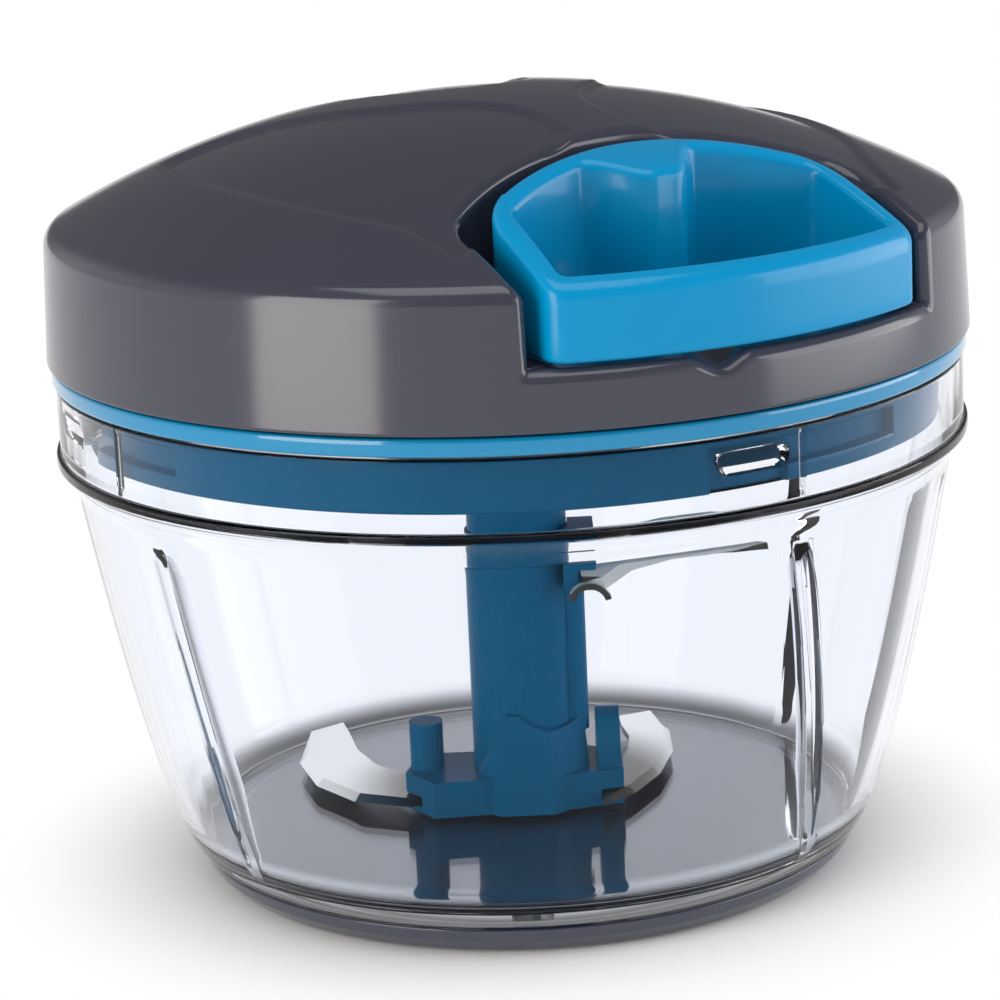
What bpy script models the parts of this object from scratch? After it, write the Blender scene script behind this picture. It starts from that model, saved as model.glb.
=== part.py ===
"""Pull-cord vegetable chopper: a clear bowl, a blade unit on a pin, and a lid with a cord reel.

Metres, +Z up. The bowl's axis is the Z axis and it stands on Z = 0. Pieces near the pull handle
are drawn with +X along the pull and turned to HANDLE_AZIMUTH by the empty that carries them.
"""

import math

import bmesh
import bpy
from mathutils import Matrix, Vector

MM = 0.001

# Shared clearances and the fineness of round pieces
GAP = 0.3 * MM
RUNNING_GAP = 0.3 * MM
SLIDE_GAP = 0.5 * MM
LARGE_FACETS = 60
SMALL_FACETS = 32
TINY_FACETS = 16
HOLE_TURN = 4.0

# Anti-slip base
FOOT_RADIUS = 43.6 * MM
BASE_RADIUS = 47.9 * MM
BASE_HEIGHT = 4.2 * MM
BASE_FLOOR = 4.9 * MM
BASE_LIP = 2.9 * MM

# Bowl
BOWL_WALL = 2.2 * MM
BOWL_FLOOR = 1.6 * MM
BOWL_MOUTH_INSET = 1.6 * MM
BOWL_SWELL = 0.66
FLOOR_ROUND = 4.0 * MM
LEDGE_TOP = 63.5 * MM
LEDGE_THICKNESS = 1.8 * MM
LEDGE_SLOPE = 1.7 * MM
LEDGE_PROUD = 0.6 * MM
RIM_RADIUS = 64.0 * MM
RIM_WALL = 2.4 * MM
RIM_HEIGHT = 9.7 * MM

# Food ribs inside the bowl, each with the azimuth of its foot and of its top
RIBS = ((-140, -142), (-40, -52), (-15, -14), (34, 42), (92, 95))
RIB_TOP = 56.0 * MM
RIB_WIDTH = 3.0 * MM
RIB_PROUD = 2.4 * MM
RIB_ROUND = 5.0 * MM
RIB_ROOT = 1.0 * MM

# Bayonet between bowl and lid
LUG_AZIMUTHS = (-60.5, -161.5, 119.5, 18.5)
LUG_LENGTH = 10.5 * MM
LUG_HEIGHT = 2.6 * MM
LUG_CENTRE_DROP = 3.8 * MM
LUG_DEPTH = 2.1 * MM
GROOVE_DEPTH = 1.4 * MM
GROOVE_CLEARANCE = 0.5 * MM
LOCK_ANGLE = 20
STOP_RIB_AZIMUTHS = (-53.4, -146.7, 126.6, 33.3)
STOP_RIB_WIDTH = 0.9 * MM
STOP_RIB_PROUD = 0.6 * MM

# Pivot pin
PIN_RADIUS = 2.0 * MM
PIN_RISE = 12.0 * MM
PIN_SEAT_DEPTH = 0.8 * MM

# Lid seal and lid base
SEAL_THICKNESS = 1.2 * MM
SEAL_WIDTH = 1.6 * MM
SEAL_OVERLAP = 1.4 * MM
LID_OVERHANG = 1.0 * MM
BEAD_INSET = 0.5 * MM
BEAD_WIDTH = 1.2 * MM
FLANGE_THICKNESS = 1.0 * MM
SKIRT_GAP = 1.0 * MM
SKIRT_WALL = 2.6 * MM
SKIRT_DEPTH = 8.2 * MM
PLATE_DROP = 5.0 * MM
PLATE_THICKNESS = 2.0 * MM

# Lid cover
LID_HEIGHT = 34.7 * MM
LID_WALL = 2.0 * MM
DOME_RADIUS = 132.0 * MM
WALL_DRAFT = 0.7 * MM
SHOULDER_ROUND = 3.0 * MM
LEAF_DEPTH = 0.7 * MM
SCREW_RING_INSET = 15.0 * MM
SCREW_AZIMUTHS = (41, 91, 151, -159)
SCREW_BOSS_RADIUS = 3.4 * MM
SCREW_RADIUS = 1.4 * MM
SCREW_HEAD_RADIUS = 2.8 * MM
SCREW_HEAD_HEIGHT = 1.4 * MM
SCREW_GRIP = 9.0 * MM

# Pull handle and its recess
HANDLE_AZIMUTH = -59
HANDLE_FRONT_INSET = 0.6 * MM
HANDLE_HALF_WIDTH = 28.5 * MM
HANDLE_BACK = 32.0 * MM
HANDLE_BACK_RADIUS = 50.0 * MM
HANDLE_SIDE_LEAN = 1.6 * MM
HANDLE_BOTTOM_RISE = 8.5 * MM
HANDLE_WALL = 3.1 * MM
HANDLE_FRONT_CORNER = 2.5 * MM
HANDLE_BACK_CORNER = 5.0 * MM
HANDLE_EDGE_ROUND = 0.9 * MM
HANDLE_TRAVEL_CLEAR = 2.8 * MM
CORD_BOSS_REACH = 7.0 * MM
CORD_BOSS_SPREAD = (10.0 * MM, 8.6 * MM)
CORD_BOSS_FLAT = 1.6 * MM
RECESS_CORNER = 6.0 * MM
RECESS_WALL = 2.0 * MM
FINGER_NOTCH_TURN = -6.5
FINGER_NOTCH_RADIUS = 6.0 * MM
FINGER_NOTCH_DEPTH = 1.2 * MM

# Pull cord and its guide
CORD_RADIUS = 1.0 * MM
CORD_HEIGHT_ABOVE_HANDLE_BOTTOM = 3.2 * MM
KNOT_RADIUS = 2.1 * MM
KNOT_POCKET_DEPTH = 5.0 * MM
GUIDE_WALL = 1.0 * MM
GUIDE_FLANGE_RADIUS = 3.3 * MM
GUIDE_FLANGE_THICKNESS = 1.0 * MM
GUIDE_TAIL = 1.2 * MM

# Reel, spring and drive hub
AXLE_RADIUS = 3.5 * MM
AXLE_LENGTH = 23.0 * MM
AXLE_SEAT_DEPTH = 7.0 * MM
AXLE_BOSS_WALL = 2.2 * MM
REEL_CORE_RADIUS = 12.0 * MM
REEL_FLANGE_RADIUS = 20.0 * MM
REEL_FLANGE_THICKNESS = 1.5 * MM
REEL_SPOOL_WIDTH = 8.0 * MM
REEL_TUBE_RADIUS = 8.2 * MM
WINDING_DEPTH = 3.0 * MM
SPRING_STRIP = 0.6 * MM
SPRING_PITCH = 1.9 * MM
SPRING_TURNS = 5
SPRING_FACETS_PER_TURN = 20
HOUSING_WALL = 1.4 * MM
HOUSING_FLOOR = 1.2 * MM
HOUSING_RADIUS = 22.4 * MM
EAR_COUNT = 3
EAR_AZIMUTH = 60
EAR_RADIUS = 3.6 * MM
EAR_HEIGHT = 2.4 * MM
EAR_REACH = 2.6 * MM
HOUSING_SCREW_GRIP = 1.9 * MM
HUB_FLANGE_RADIUS = 10.2 * MM
HUB_FLANGE_THICKNESS = 1.9 * MM
HUB_SPIGOT_LENGTH = 5.0 * MM
HUB_PLUG_LENGTH = 9.0 * MM
HUB_PLUG_RADIUS = 3.0 * MM
DOG_REACH = 2.2 * MM
DOG_ANGLE = 40

# Blade post
POST_RADIUS = 7.6 * MM
POST_COLLAR_HEIGHT = 46.3 * MM
SLEEVE_RADIUS = 7.2 * MM
SLEEVE_SPIGOT_RADIUS = 5.0 * MM
SLEEVE_SPIGOT_LENGTH = 6.5 * MM
SOCKET_WALL = 1.6 * MM
SOCKET_END_GAP = 1.0 * MM
HUB_SIDES = 8
HUB_FOOT_RADIUS = 10.4 * MM
HUB_TOP_RADIUS = 9.0 * MM
HUB_TOP_HEIGHT = 22.0 * MM
HUB_EDGE_X = (-9.4 * MM, -2.6 * MM)
SADDLE_RADIUS = 7.0 * MM
SADDLE_X = 4.6 * MM
SADDLE_FLOOR = 19.4 * MM
POST_RIB_RADIUS = 2.2 * MM
POST_RIB_OFFSET = 7.4 * MM
POST_RIB_AZIMUTH = -14
POST_RIB_LOW = 18.0 * MM
POST_RIB_HIGH = 41.0 * MM
ARM_LOW = 7.3 * MM
ARM_HIGH = 12.6 * MM
LEFT_ARM = ((-4.0, 5.0), (-15.5, 5.0), (-17.6, -3.2), (-13.4, -9.0), (-4.0, -8.0))
RIGHT_ARM_Y = (-8.0 * MM, 7.0 * MM)
ARM_ROOT = 4.0 * MM
PEG_RADIUS = 2.45 * MM
PEG_TOP = 19.6 * MM
PEG_PLACE = (-14.4 * MM, -1.0 * MM)
LOBE_X = (10.3 * MM, 13.7 * MM)
LOBE_Y = (-5.0 * MM, 4.0 * MM)
LOBE_TOP = 20.5 * MM
LOBE_LEDGE = 0.3 * MM

# Blades: outlines in plan, in mm, root first along the back edge, then the cutting edge back
BLADE_THICKNESS = 1.0 * MM
BLADE_GRIND = 1.2 * MM
LOWER_BLADE_HEIGHT = 8.9 * MM
LEFT_BLADE_BACK = ((-11.2, 2.2), (-17.5, 5.0), (-22.5, 10.5), (-25.6, 18.0), (-27.2, 26.5), (-28.4, 31.6))
LEFT_BLADE_EDGE = ((-11.2, -5.6), (-17.8, -6.4), (-25.2, -3.2), (-31.2, 4.6), (-34.4, 15.5), (-33.2, 27.6))
RIGHT_BLADE_BACK = ((11.2, 2.4), (13.6, 7.0), (15.4, 13.0), (15.8, 19.0), (14.9, 24.2), (14.6, 29.0))
RIGHT_BLADE_EDGE = ((10.9, -9.0), (15.6, -4.6), (19.6, 3.4), (22.2, 14.0), (22.2, 24.0), (19.6, 31.0))
UPPER_BLADE_HEIGHT = 45.3 * MM
UPPER_BLADE_PITCH_ANGLE = 23
UPPER_BLADE_BACK = ((8.4, -2.9), (11.4, -2.2), (15.4, -0.4), (21.0, 1.4), (28.0, 2.2), (34.4, 1.4))
UPPER_BLADE_EDGE = ((8.9, -8.2), (12.3, -9.6), (16.2, -6.0), (22.0, -4.0), (29.0, -3.2), (36.2, -2.8))
BRACKET_X = (6.4 * MM, 11.0 * MM)
BRACKET_Y = (-7.4 * MM, 1.6 * MM)
BRACKET_Z = (40.0 * MM, 47.2 * MM)
CLIP_X = 10.0 * MM
CLIP_Y = (-9.6 * MM, -7.9 * MM)
CLIP_RADIUS = 3.2 * MM
CLIP_THICKNESS = 0.9 * MM

# Heights and radii that follow from the values above
BOWL_MOUTH_RADIUS = RIM_RADIUS - BOWL_MOUTH_INSET
BOWL_UNDERSIDE = BASE_FLOOR + GAP
BOWL_EDGE_LOW = BASE_HEIGHT + GAP
FLOOR_TOP = BOWL_UNDERSIDE + BOWL_FLOOR
BOWL_SHOULDER = LEDGE_TOP - LEDGE_THICKNESS - LEDGE_SLOPE
RIM_TOP = LEDGE_TOP + RIM_HEIGHT
RIM_INNER = RIM_RADIUS - RIM_WALL
LUG_Z = RIM_TOP - LUG_CENTRE_DROP
SEAL_LOW = RIM_TOP + GAP
FLANGE_LOW = SEAL_LOW + SEAL_THICKNESS + GAP
LID_BASE_TOP = FLANGE_LOW + FLANGE_THICKNESS
SKIRT_RADIUS = RIM_INNER - SKIRT_GAP
SKIRT_INNER = SKIRT_RADIUS - SKIRT_WALL
SKIRT_LOW = SEAL_LOW - SKIRT_DEPTH
PLATE_TOP = LID_BASE_TOP - PLATE_DROP
PLATE_LOW = PLATE_TOP - PLATE_THICKNESS
LID_RADIUS = RIM_RADIUS + LID_OVERHANG
SCREW_RING_RADIUS = LID_RADIUS - SCREW_RING_INSET
SEAL_INNER = RIM_INNER - GAP + SEAL_OVERLAP - SEAL_WIDTH
COVER_LOW = LID_BASE_TOP + GAP
DOME_TOP = COVER_LOW + LID_HEIGHT
DOME_CENTRE = DOME_TOP - DOME_RADIUS
HANDLE_LOW = COVER_LOW + HANDLE_BOTTOM_RISE
RECESS_FLOOR = HANDLE_LOW - SLIDE_GAP
CORD_Z = HANDLE_LOW + CORD_HEIGHT_ABOVE_HANDLE_BOTTOM
RECESS_BACK = HANDLE_BACK - HANDLE_TRAVEL_CLEAR
BACK_ARC_CENTRE = HANDLE_BACK + HANDLE_BACK_RADIUS
SPOOL_LOW = CORD_Z - REEL_SPOOL_WIDTH / 2
SPOOL_HIGH = CORD_Z + REEL_SPOOL_WIDTH / 2
REEL_TOP = SPOOL_HIGH + REEL_FLANGE_THICKNESS
REEL_FLANGE_LOW = SPOOL_LOW - REEL_FLANGE_THICKNESS
AXLE_BOSS_LOW = REEL_TOP + RUNNING_GAP
AXLE_BORE = AXLE_RADIUS + RUNNING_GAP
AXLE_TOP = AXLE_BOSS_LOW + AXLE_SEAT_DEPTH
HUB_TOP = PLATE_LOW - RUNNING_GAP
HUB_LOW = HUB_TOP - HUB_FLANGE_THICKNESS
SLEEVE_TOP = HUB_LOW - RUNNING_GAP
DOG_RADIUS = HUB_PLUG_RADIUS + DOG_REACH
SOCKET_RADIUS = SLEEVE_RADIUS - SOCKET_WALL
SOCKET_LOW = HUB_LOW - HUB_PLUG_LENGTH - SOCKET_END_GAP
HOUSING_LOW = PLATE_TOP + GAP
EAR_RING = HOUSING_RADIUS + EAR_REACH


def linear(level):
    """The linear value of one display colour level from 0 to 255."""
    share = level / 255
    return share / 12.92 if share <= 0.04045 else ((share + 0.055) / 1.055) ** 2.4


def material(name, rgb, roughness, metallic=0.0, transmission=0.0, coat=0.0):
    """A Principled material from a display colour."""
    made = bpy.data.materials.new(name)
    made.use_nodes = True
    shader = made.node_tree.nodes["Principled BSDF"]
    colour = [linear(level) for level in rgb] + [1.0]
    shader.inputs["Base Color"].default_value = colour
    shader.inputs["Roughness"].default_value = roughness
    shader.inputs["Metallic"].default_value = metallic
    shader.inputs["Transmission Weight"].default_value = transmission
    shader.inputs["Coat Weight"].default_value = coat
    made.diffuse_color = colour
    return made


def make_materials():
    """Every finish of the chopper, by a plain name."""
    return {
        "clear": material("clear_bowl", (240, 244, 250), 0.04, transmission=1.0),
        "slate": material("slate_base", (66, 70, 86), 0.25),
        "charcoal": material("charcoal_lid", (80, 80, 95), 0.35),
        "sky": material("sky_blue_handle", (0, 150, 210), 0.22, coat=0.3),
        "teal": material("deep_blue_plastic", (0, 100, 145), 0.3),
        "bead": material("light_blue_bead", (60, 160, 205), 0.3),
        "steel": material("blade_steel", (215, 215, 212), 0.18, metallic=1.0),
        "pin": material("pin_steel", (170, 172, 175), 0.3, metallic=1.0),
        "spring": material("spring_steel", (110, 115, 125), 0.35, metallic=1.0),
        "white": material("white_plastic", (225, 225, 222), 0.4),
        "seal": material("pale_silicone", (205, 215, 220), 0.6),
        "cord": material("white_cord", (232, 232, 228), 0.8),
    }


def add_object(name, bm, finish, parent=None):
    """Links a finished bmesh as a named object, shaded smooth up to 35 degrees."""
    bmesh.ops.recalc_face_normals(bm, faces=bm.faces)
    mesh = bpy.data.meshes.new(name)
    bm.to_mesh(mesh)
    bm.free()
    mesh.shade_smooth()
    mesh.set_sharp_from_angle(angle=math.radians(35))
    made = bpy.data.objects.new(name, mesh)
    made.data.materials.append(finish)
    made.parent = parent
    bpy.context.scene.collection.objects.link(made)
    return made


def add_cutter(name, bm, parent=None):
    """A helper shape that other pieces are cut or joined with; it isn't a piece."""
    made = add_object(name, bm, None, parent)
    made.hide_render = True
    made.display_type = "WIRE"
    return made


def combine(target, other, operation="DIFFERENCE"):
    """Adds a live Boolean of another object to the target."""
    step = target.modifiers.new(operation.lower() + "_" + other.name, "BOOLEAN")
    step.operation = operation
    step.solver = "EXACT"
    step.object = other
    return target


def empty(name, azimuth=0.0):
    """A carrier on the bowl's axis, turned about it."""
    made = bpy.data.objects.new(name, None)
    made.rotation_euler = (0, 0, math.radians(azimuth))
    bpy.context.scene.collection.objects.link(made)
    return made


def turned(outline, facets=LARGE_FACETS):
    """A closed section of (radius, height) corners, spun once about the Z axis."""
    bm = bmesh.new()
    corners = [bm.verts.new((radius, 0, height)) for radius, height in outline]
    count = len(corners)
    edges = []
    for index in range(count):
        after = (index + 1) % count
        if outline[index][0] > 0 or outline[after][0] > 0:
            edges.append(bm.edges.new((corners[index], corners[after])))
    bmesh.ops.spin(
        bm, geom=corners + edges, cent=(0, 0, 0), axis=(0, 0, 1), steps=facets, angle=math.tau
    )
    bmesh.ops.remove_doubles(bm, verts=bm.verts, dist=0.001 * MM)
    loose = [v for v in bm.verts if not v.link_faces]
    bmesh.ops.delete(bm, geom=loose, context="VERTS")
    return bm


def disc(radius, low, high, facets=SMALL_FACETS):
    """A plain cylinder about the Z axis."""
    return turned(((0, low), (radius, low), (radius, high), (0, high)), facets)


def hole(radius, low, high, facets=TINY_FACETS):
    """A round cutter, turned a little so that its corners miss the edges of the piece it cuts."""
    return moved(disc(radius, low, high, facets), turn=HOLE_TURN)


def prism(outline, low, high):
    """An outline of (x, y) corners extruded from one height to another."""
    bm = bmesh.new()
    face = bm.faces.new([bm.verts.new((x, y, low)) for x, y in outline])
    grown = bmesh.ops.extrude_face_region(bm, geom=[face])
    top = [item for item in grown["geom"] if isinstance(item, bmesh.types.BMVert)]
    bmesh.ops.translate(bm, verts=top, vec=(0, 0, high - low))
    return bm


def moved(bm, offset=(0, 0, 0), turn=0.0, axis="Z"):
    """The same bmesh, turned about the origin by degrees and then shifted."""
    bm.transform(Matrix.Translation(Vector(offset)) @ Matrix.Rotation(math.radians(turn), 4, axis))
    return bm


def across(outline, low, high):
    """An outline of (x, height) corners extruded along Y."""
    return moved(prism(outline, -high, -low), turn=90, axis="X")


def block(x_span, y_span, z_span):
    """A box between three pairs of limits."""
    (x0, x1), (y0, y1) = x_span, y_span
    return prism(((x0, y0), (x1, y0), (x1, y1), (x0, y1)), z_span[0], z_span[1])


def arc(centre, radius, start, end, steps):
    """Points on a circle from one angle to another, in degrees, both ends in."""
    turn = [math.radians(start + (end - start) * step / steps) for step in range(steps + 1)]
    return [(centre[0] + radius * math.cos(t), centre[1] + radius * math.sin(t)) for t in turn]


def arc_band(inner, outer, start, end, low, high, steps=7):
    """Part of a ring between two radii, two angles and two heights."""
    outline = arc((0, 0), outer, start, end, steps) + arc((0, 0), inner, end, start, steps)
    return prism(outline, low, high)


def rounded(outline, radii, steps=4):
    """The outline with each corner replaced by an arc of its own radius; 0 keeps it sharp."""
    made = []
    count = len(outline)
    for index, radius in enumerate(radii):
        corner = Vector(outline[index])
        before = (Vector(outline[index - 1]) - corner).normalized()
        after = (Vector(outline[(index + 1) % count]) - corner).normalized()
        if radius == 0:
            made.append(tuple(corner))
            continue
        half = before.angle(after) / 2
        centre = corner + (before + after).normalized() * (radius / math.sin(half))
        start = corner + before * (radius / math.tan(half)) - centre
        end = corner + after * (radius / math.tan(half)) - centre
        sweep = start.angle_signed(end)
        for step in range(steps + 1):
            point = start.copy()
            point.rotate(Matrix.Rotation(-sweep * step / steps, 2))
            made.append(tuple(centre + point))
    return made


def resampled(outline, count):
    """The closed outline as a given number of points at equal spacing."""
    points = [Vector(p) for p in outline]
    points.append(points[0])
    lengths = [0.0]
    for a, b in zip(points, points[1:]):
        lengths.append(lengths[-1] + (b - a).length)
    made = []
    segment = 0
    for index in range(count):
        wanted = lengths[-1] * index / count
        while lengths[segment + 1] < wanted:
            segment += 1
        share = (wanted - lengths[segment]) / (lengths[segment + 1] - lengths[segment])
        made.append(points[segment].lerp(points[segment + 1], share))
    return made


def tube(points, radius):
    """A round tube with flat ends that follows the given points."""
    curve = bpy.data.curves.new("route", "CURVE")
    curve.dimensions = "3D"
    curve.bevel_depth = radius
    curve.bevel_resolution = 2
    curve.use_fill_caps = True
    line = curve.splines.new("POLY")
    line.points.add(len(points) - 1)
    for point, place in zip(line.points, points):
        point.co = (*place, 1)
    return curve


def bowl_outer(height):
    """Outer radius of the bowl wall: it swells quickly above the base and then runs almost straight."""
    share = (height - BOWL_EDGE_LOW) / (BOWL_SHOULDER - BOWL_EDGE_LOW)
    return BASE_RADIUS + (BOWL_MOUTH_RADIUS - BASE_RADIUS) * max(share, 0) ** BOWL_SWELL


def bowl_inner(height):
    """Inner radius of the bowl wall."""
    return bowl_outer(height) - BOWL_WALL


def bowl_section():
    """The bowl's wall, floor, ledge and rim, once round."""
    wall_facets = 7
    step = (BOWL_SHOULDER - BOWL_EDGE_LOW) / wall_facets
    outside = [BOWL_EDGE_LOW + step * (index / wall_facets) * index for index in range(wall_facets + 1)]
    round_top = FLOOR_TOP + FLOOR_ROUND
    inside_step = (BOWL_SHOULDER - round_top) / wall_facets
    inside = [BOWL_SHOULDER - inside_step * index for index in range(wall_facets)]
    floor_round = arc(
        (bowl_inner(round_top) - FLOOR_ROUND, round_top), FLOOR_ROUND, 0, -90, 4
    )
    plug_radius = BASE_RADIUS - BASE_LIP + GAP
    ledge_radius = RIM_RADIUS + LEDGE_PROUD
    seat = PIN_RADIUS + GAP
    section = [(0, BOWL_UNDERSIDE), (plug_radius, BOWL_UNDERSIDE), (plug_radius, BOWL_EDGE_LOW)]
    section += [(bowl_outer(height), height) for height in outside]
    section += [(ledge_radius, LEDGE_TOP - LEDGE_THICKNESS), (ledge_radius, LEDGE_TOP)]
    section += [(RIM_RADIUS, LEDGE_TOP), (RIM_RADIUS, RIM_TOP - GAP), (RIM_RADIUS - GAP, RIM_TOP)]
    section += [(RIM_INNER, RIM_TOP), (RIM_INNER, LEDGE_TOP - LEDGE_THICKNESS / 2)]
    section += [(bowl_inner(height), height) for height in inside]
    section += floor_round
    section += [(seat, FLOOR_TOP), (seat, FLOOR_TOP - PIN_SEAT_DEPTH), (0, FLOOR_TOP - PIN_SEAT_DEPTH)]
    return section


def rib_shape(foot_azimuth, top_azimuth):
    """A rib on the inner wall that leans from one azimuth to another, with a rounded top."""
    low = FLOOR_TOP + FLOOR_ROUND / 2
    bend = RIB_TOP - RIB_ROUND
    levels = [low + (bend - low) * index / 8 for index in range(9)]
    levels += [bend + RIB_ROUND * math.sin(math.radians(turn)) for turn in (30, 60, 85)]
    half = RIB_WIDTH / 2
    bm = bmesh.new()
    rows = []
    for index, height in enumerate(levels):
        share = (height - low) / (RIB_TOP - low)
        azimuth = foot_azimuth + (top_azimuth - foot_azimuth) * share
        turn = Matrix.Rotation(math.radians(azimuth), 3, "Z")
        rise = max(height - bend, 0) / RIB_ROUND
        face = bowl_inner(height) - RIB_PROUD * min(1.0, 0.4 + index / 4) * math.sqrt(1 - rise**2)
        root = bowl_inner(height) + RIB_ROOT
        corners = ((root, -half), (root, half), (face, half), (face, -half))
        rows.append([bm.verts.new(turn @ Vector((x, y, height))) for x, y in corners])
    for row, following in zip(rows, rows[1:]):
        for index in range(4):
            after = (index + 1) % 4
            bm.faces.new((row[index], row[after], following[after], following[index]))
    bm.faces.new(rows[0][::-1])
    bm.faces.new(rows[-1])
    return bm


def lug_shape():
    """A bayonet lug: a round-ended bar that stands inwards from the rim."""
    radius = LUG_HEIGHT / 2
    reach = LUG_LENGTH / 2 - LUG_HEIGHT / 2
    outline = arc((reach, 0), radius, -90, 90, 6) + arc((-reach, 0), radius, 90, 270, 6)
    root = RIM_INNER + RIM_WALL / 3
    bm = prism(outline, 0, LUG_DEPTH + RIM_WALL / 3)
    moved(bm, turn=90, axis="X")
    moved(bm, turn=90, axis="Z")
    return moved(bm, offset=(root - LUG_DEPTH - RIM_WALL / 3, 0, LUG_Z))


def stop_rib_shape():
    """A fine upright rib inside the rim, beside each lug."""
    span = (RIM_INNER - STOP_RIB_PROUD, RIM_INNER + RIM_WALL / 3)
    half = STOP_RIB_WIDTH / 2
    return block(span, (-half, half), (LEDGE_TOP, RIM_TOP - RIM_WALL / 2))


def make_bowl(finish):
    """The clear bowl with its food ribs, bayonet lugs and stop ribs, the base and the pin."""
    bowl = add_object("bowl", turned(bowl_section()), finish["clear"])
    for index, (foot_azimuth, top_azimuth) in enumerate(RIBS):
        rib = add_cutter(f"rib_form_{index + 1}", rib_shape(foot_azimuth, top_azimuth))
        combine(bowl, rib, "UNION")
    for index, azimuth in enumerate(LUG_AZIMUTHS):
        lug = add_cutter(f"lug_form_{index + 1}", moved(lug_shape(), turn=azimuth))
        combine(bowl, lug, "UNION")
    for index, azimuth in enumerate(STOP_RIB_AZIMUTHS):
        stop = add_cutter(f"stop_rib_form_{index + 1}", moved(stop_rib_shape(), turn=azimuth))
        combine(bowl, stop, "UNION")
    inner = BASE_RADIUS - BASE_LIP
    edge = BASE_RADIUS - FOOT_RADIUS
    section = [(0, 0), (FOOT_RADIUS, 0), (FOOT_RADIUS + edge * 0.45, BASE_HEIGHT * 0.12)]
    section += [(FOOT_RADIUS + edge * 0.8, BASE_HEIGHT * 0.45), (BASE_RADIUS, BASE_HEIGHT)]
    section += [(inner, BASE_HEIGHT), (inner, BASE_FLOOR), (0, BASE_FLOOR)]
    add_object("anti_slip_base", turned(section), finish["slate"])
    seat = FLOOR_TOP - PIN_SEAT_DEPTH + GAP
    top = seat + PIN_RISE
    pin = ((0, seat), (PIN_RADIUS, seat), (PIN_RADIUS, top - MM), (PIN_RADIUS - MM, top), (0, top))
    add_object("pivot_pin", turned(pin, TINY_FACETS), finish["pin"])


def make_seal(finish):
    """The soft ring that the lid presses on the rim."""
    outer = SEAL_INNER + SEAL_WIDTH
    high = SEAL_LOW + SEAL_THICKNESS
    section = ((SEAL_INNER, SEAL_LOW), (outer, SEAL_LOW), (outer, high), (SEAL_INNER, high))
    add_object("lid_seal", turned(section), finish["seal"])


def lid_base_section():
    """Bead, seal groove, skirt and bottom plate of the lid base."""
    bead = LID_RADIUS - BEAD_INSET
    soft = BEAD_WIDTH / 4
    bore = REEL_TUBE_RADIUS + RUNNING_GAP
    return (
        (bore, PLATE_LOW),
        (SKIRT_INNER, PLATE_LOW),
        (SKIRT_INNER, SKIRT_LOW),
        (SKIRT_RADIUS, SKIRT_LOW),
        (SKIRT_RADIUS, FLANGE_LOW),
        (bead - BEAD_WIDTH, FLANGE_LOW),
        (bead - BEAD_WIDTH, SEAL_LOW),
        (bead - soft, SEAL_LOW),
        (bead, SEAL_LOW + soft),
        (bead, LID_BASE_TOP - soft),
        (bead - soft, LID_BASE_TOP),
        (SKIRT_INNER, LID_BASE_TOP),
        (SKIRT_INNER, PLATE_TOP),
        (bore, PLATE_TOP),
    )


def ring_places(count, first, radius):
    """Places at equal turns on a circle, as (azimuth, x, y)."""
    made = []
    for index in range(count):
        azimuth = first + index * 360 / count
        turn = math.radians(azimuth)
        made.append((azimuth, radius * math.cos(turn), radius * math.sin(turn)))
    return made


def lid_screw_places():
    """The lid's screws, each as (x, y)."""
    turns = [math.radians(azimuth) for azimuth in SCREW_AZIMUTHS]
    return [(SCREW_RING_RADIUS * math.cos(t), SCREW_RING_RADIUS * math.sin(t)) for t in turns]


def housing_screw_places():
    """The spring housing's screws, each as (x, y)."""
    return [(x, y) for _, x, y in ring_places(EAR_COUNT, EAR_AZIMUTH, EAR_RING)]


def groove_shape(azimuth):
    """An L-shaped bayonet groove: an entry from below and the run that the lug turns along."""
    half = math.degrees((LUG_LENGTH / 2 + GROOVE_CLEARANCE) / SKIRT_RADIUS)
    entry_steps, run_steps = 4, 6
    turns = [azimuth - half + 2 * half * step / entry_steps for step in range(entry_steps + 1)]
    turns += [azimuth + half + LOCK_ANGLE * (step + 1) / run_steps for step in range(run_steps)]
    reach = LUG_HEIGHT / 2 + GROOVE_CLEARANCE
    bm = bmesh.new()
    corner = {}
    for level, height in enumerate((SKIRT_LOW - MM, LUG_Z - reach, LUG_Z + reach)):
        for column, turn in enumerate(turns):
            for side, radius in enumerate((SKIRT_RADIUS - GROOVE_DEPTH, SKIRT_RADIUS + SKIRT_GAP)):
                place = (radius * math.cos(math.radians(turn)), radius * math.sin(math.radians(turn)), height)
                corner[level, column, side] = bm.verts.new(place)
    cells = [(0, column) for column in range(entry_steps)]
    cells += [(1, column) for column in range(entry_steps + run_steps)]
    edges = []
    for level, column in cells:
        ring = [(level, column), (level, column + 1), (level + 1, column + 1), (level + 1, column)]
        for side in (0, 1):
            bm.faces.new([corner[*place, side] for place in ring])
        edges += [sorted(pair) for pair in zip(ring, ring[1:] + ring[:1])]
    for a, b in edges:
        if edges.count([a, b]) == 1:
            bm.faces.new((corner[*a, 0], corner[*b, 0], corner[*b, 1], corner[*a, 1]))
    bmesh.ops.delete(bm, geom=[v for v in bm.verts if not v.link_faces], context="VERTS")
    return bm


def make_lid_base(finish):
    """The blue lid base: L-shaped bayonet grooves in its skirt and screw holes in its plate."""
    base = add_object("lid_base", turned(lid_base_section()), finish["bead"])
    for index, azimuth in enumerate(LUG_AZIMUTHS):
        combine(base, add_cutter(f"groove_form_{index + 1}", groove_shape(azimuth)))
    for index, (x, y) in enumerate(lid_screw_places() + housing_screw_places()):
        bore = hole(SCREW_RADIUS + GAP, PLATE_LOW - MM, PLATE_TOP + MM)
        combine(base, add_cutter(f"plate_hole_{index + 1}", moved(bore, offset=(x, y, 0))))


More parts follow.
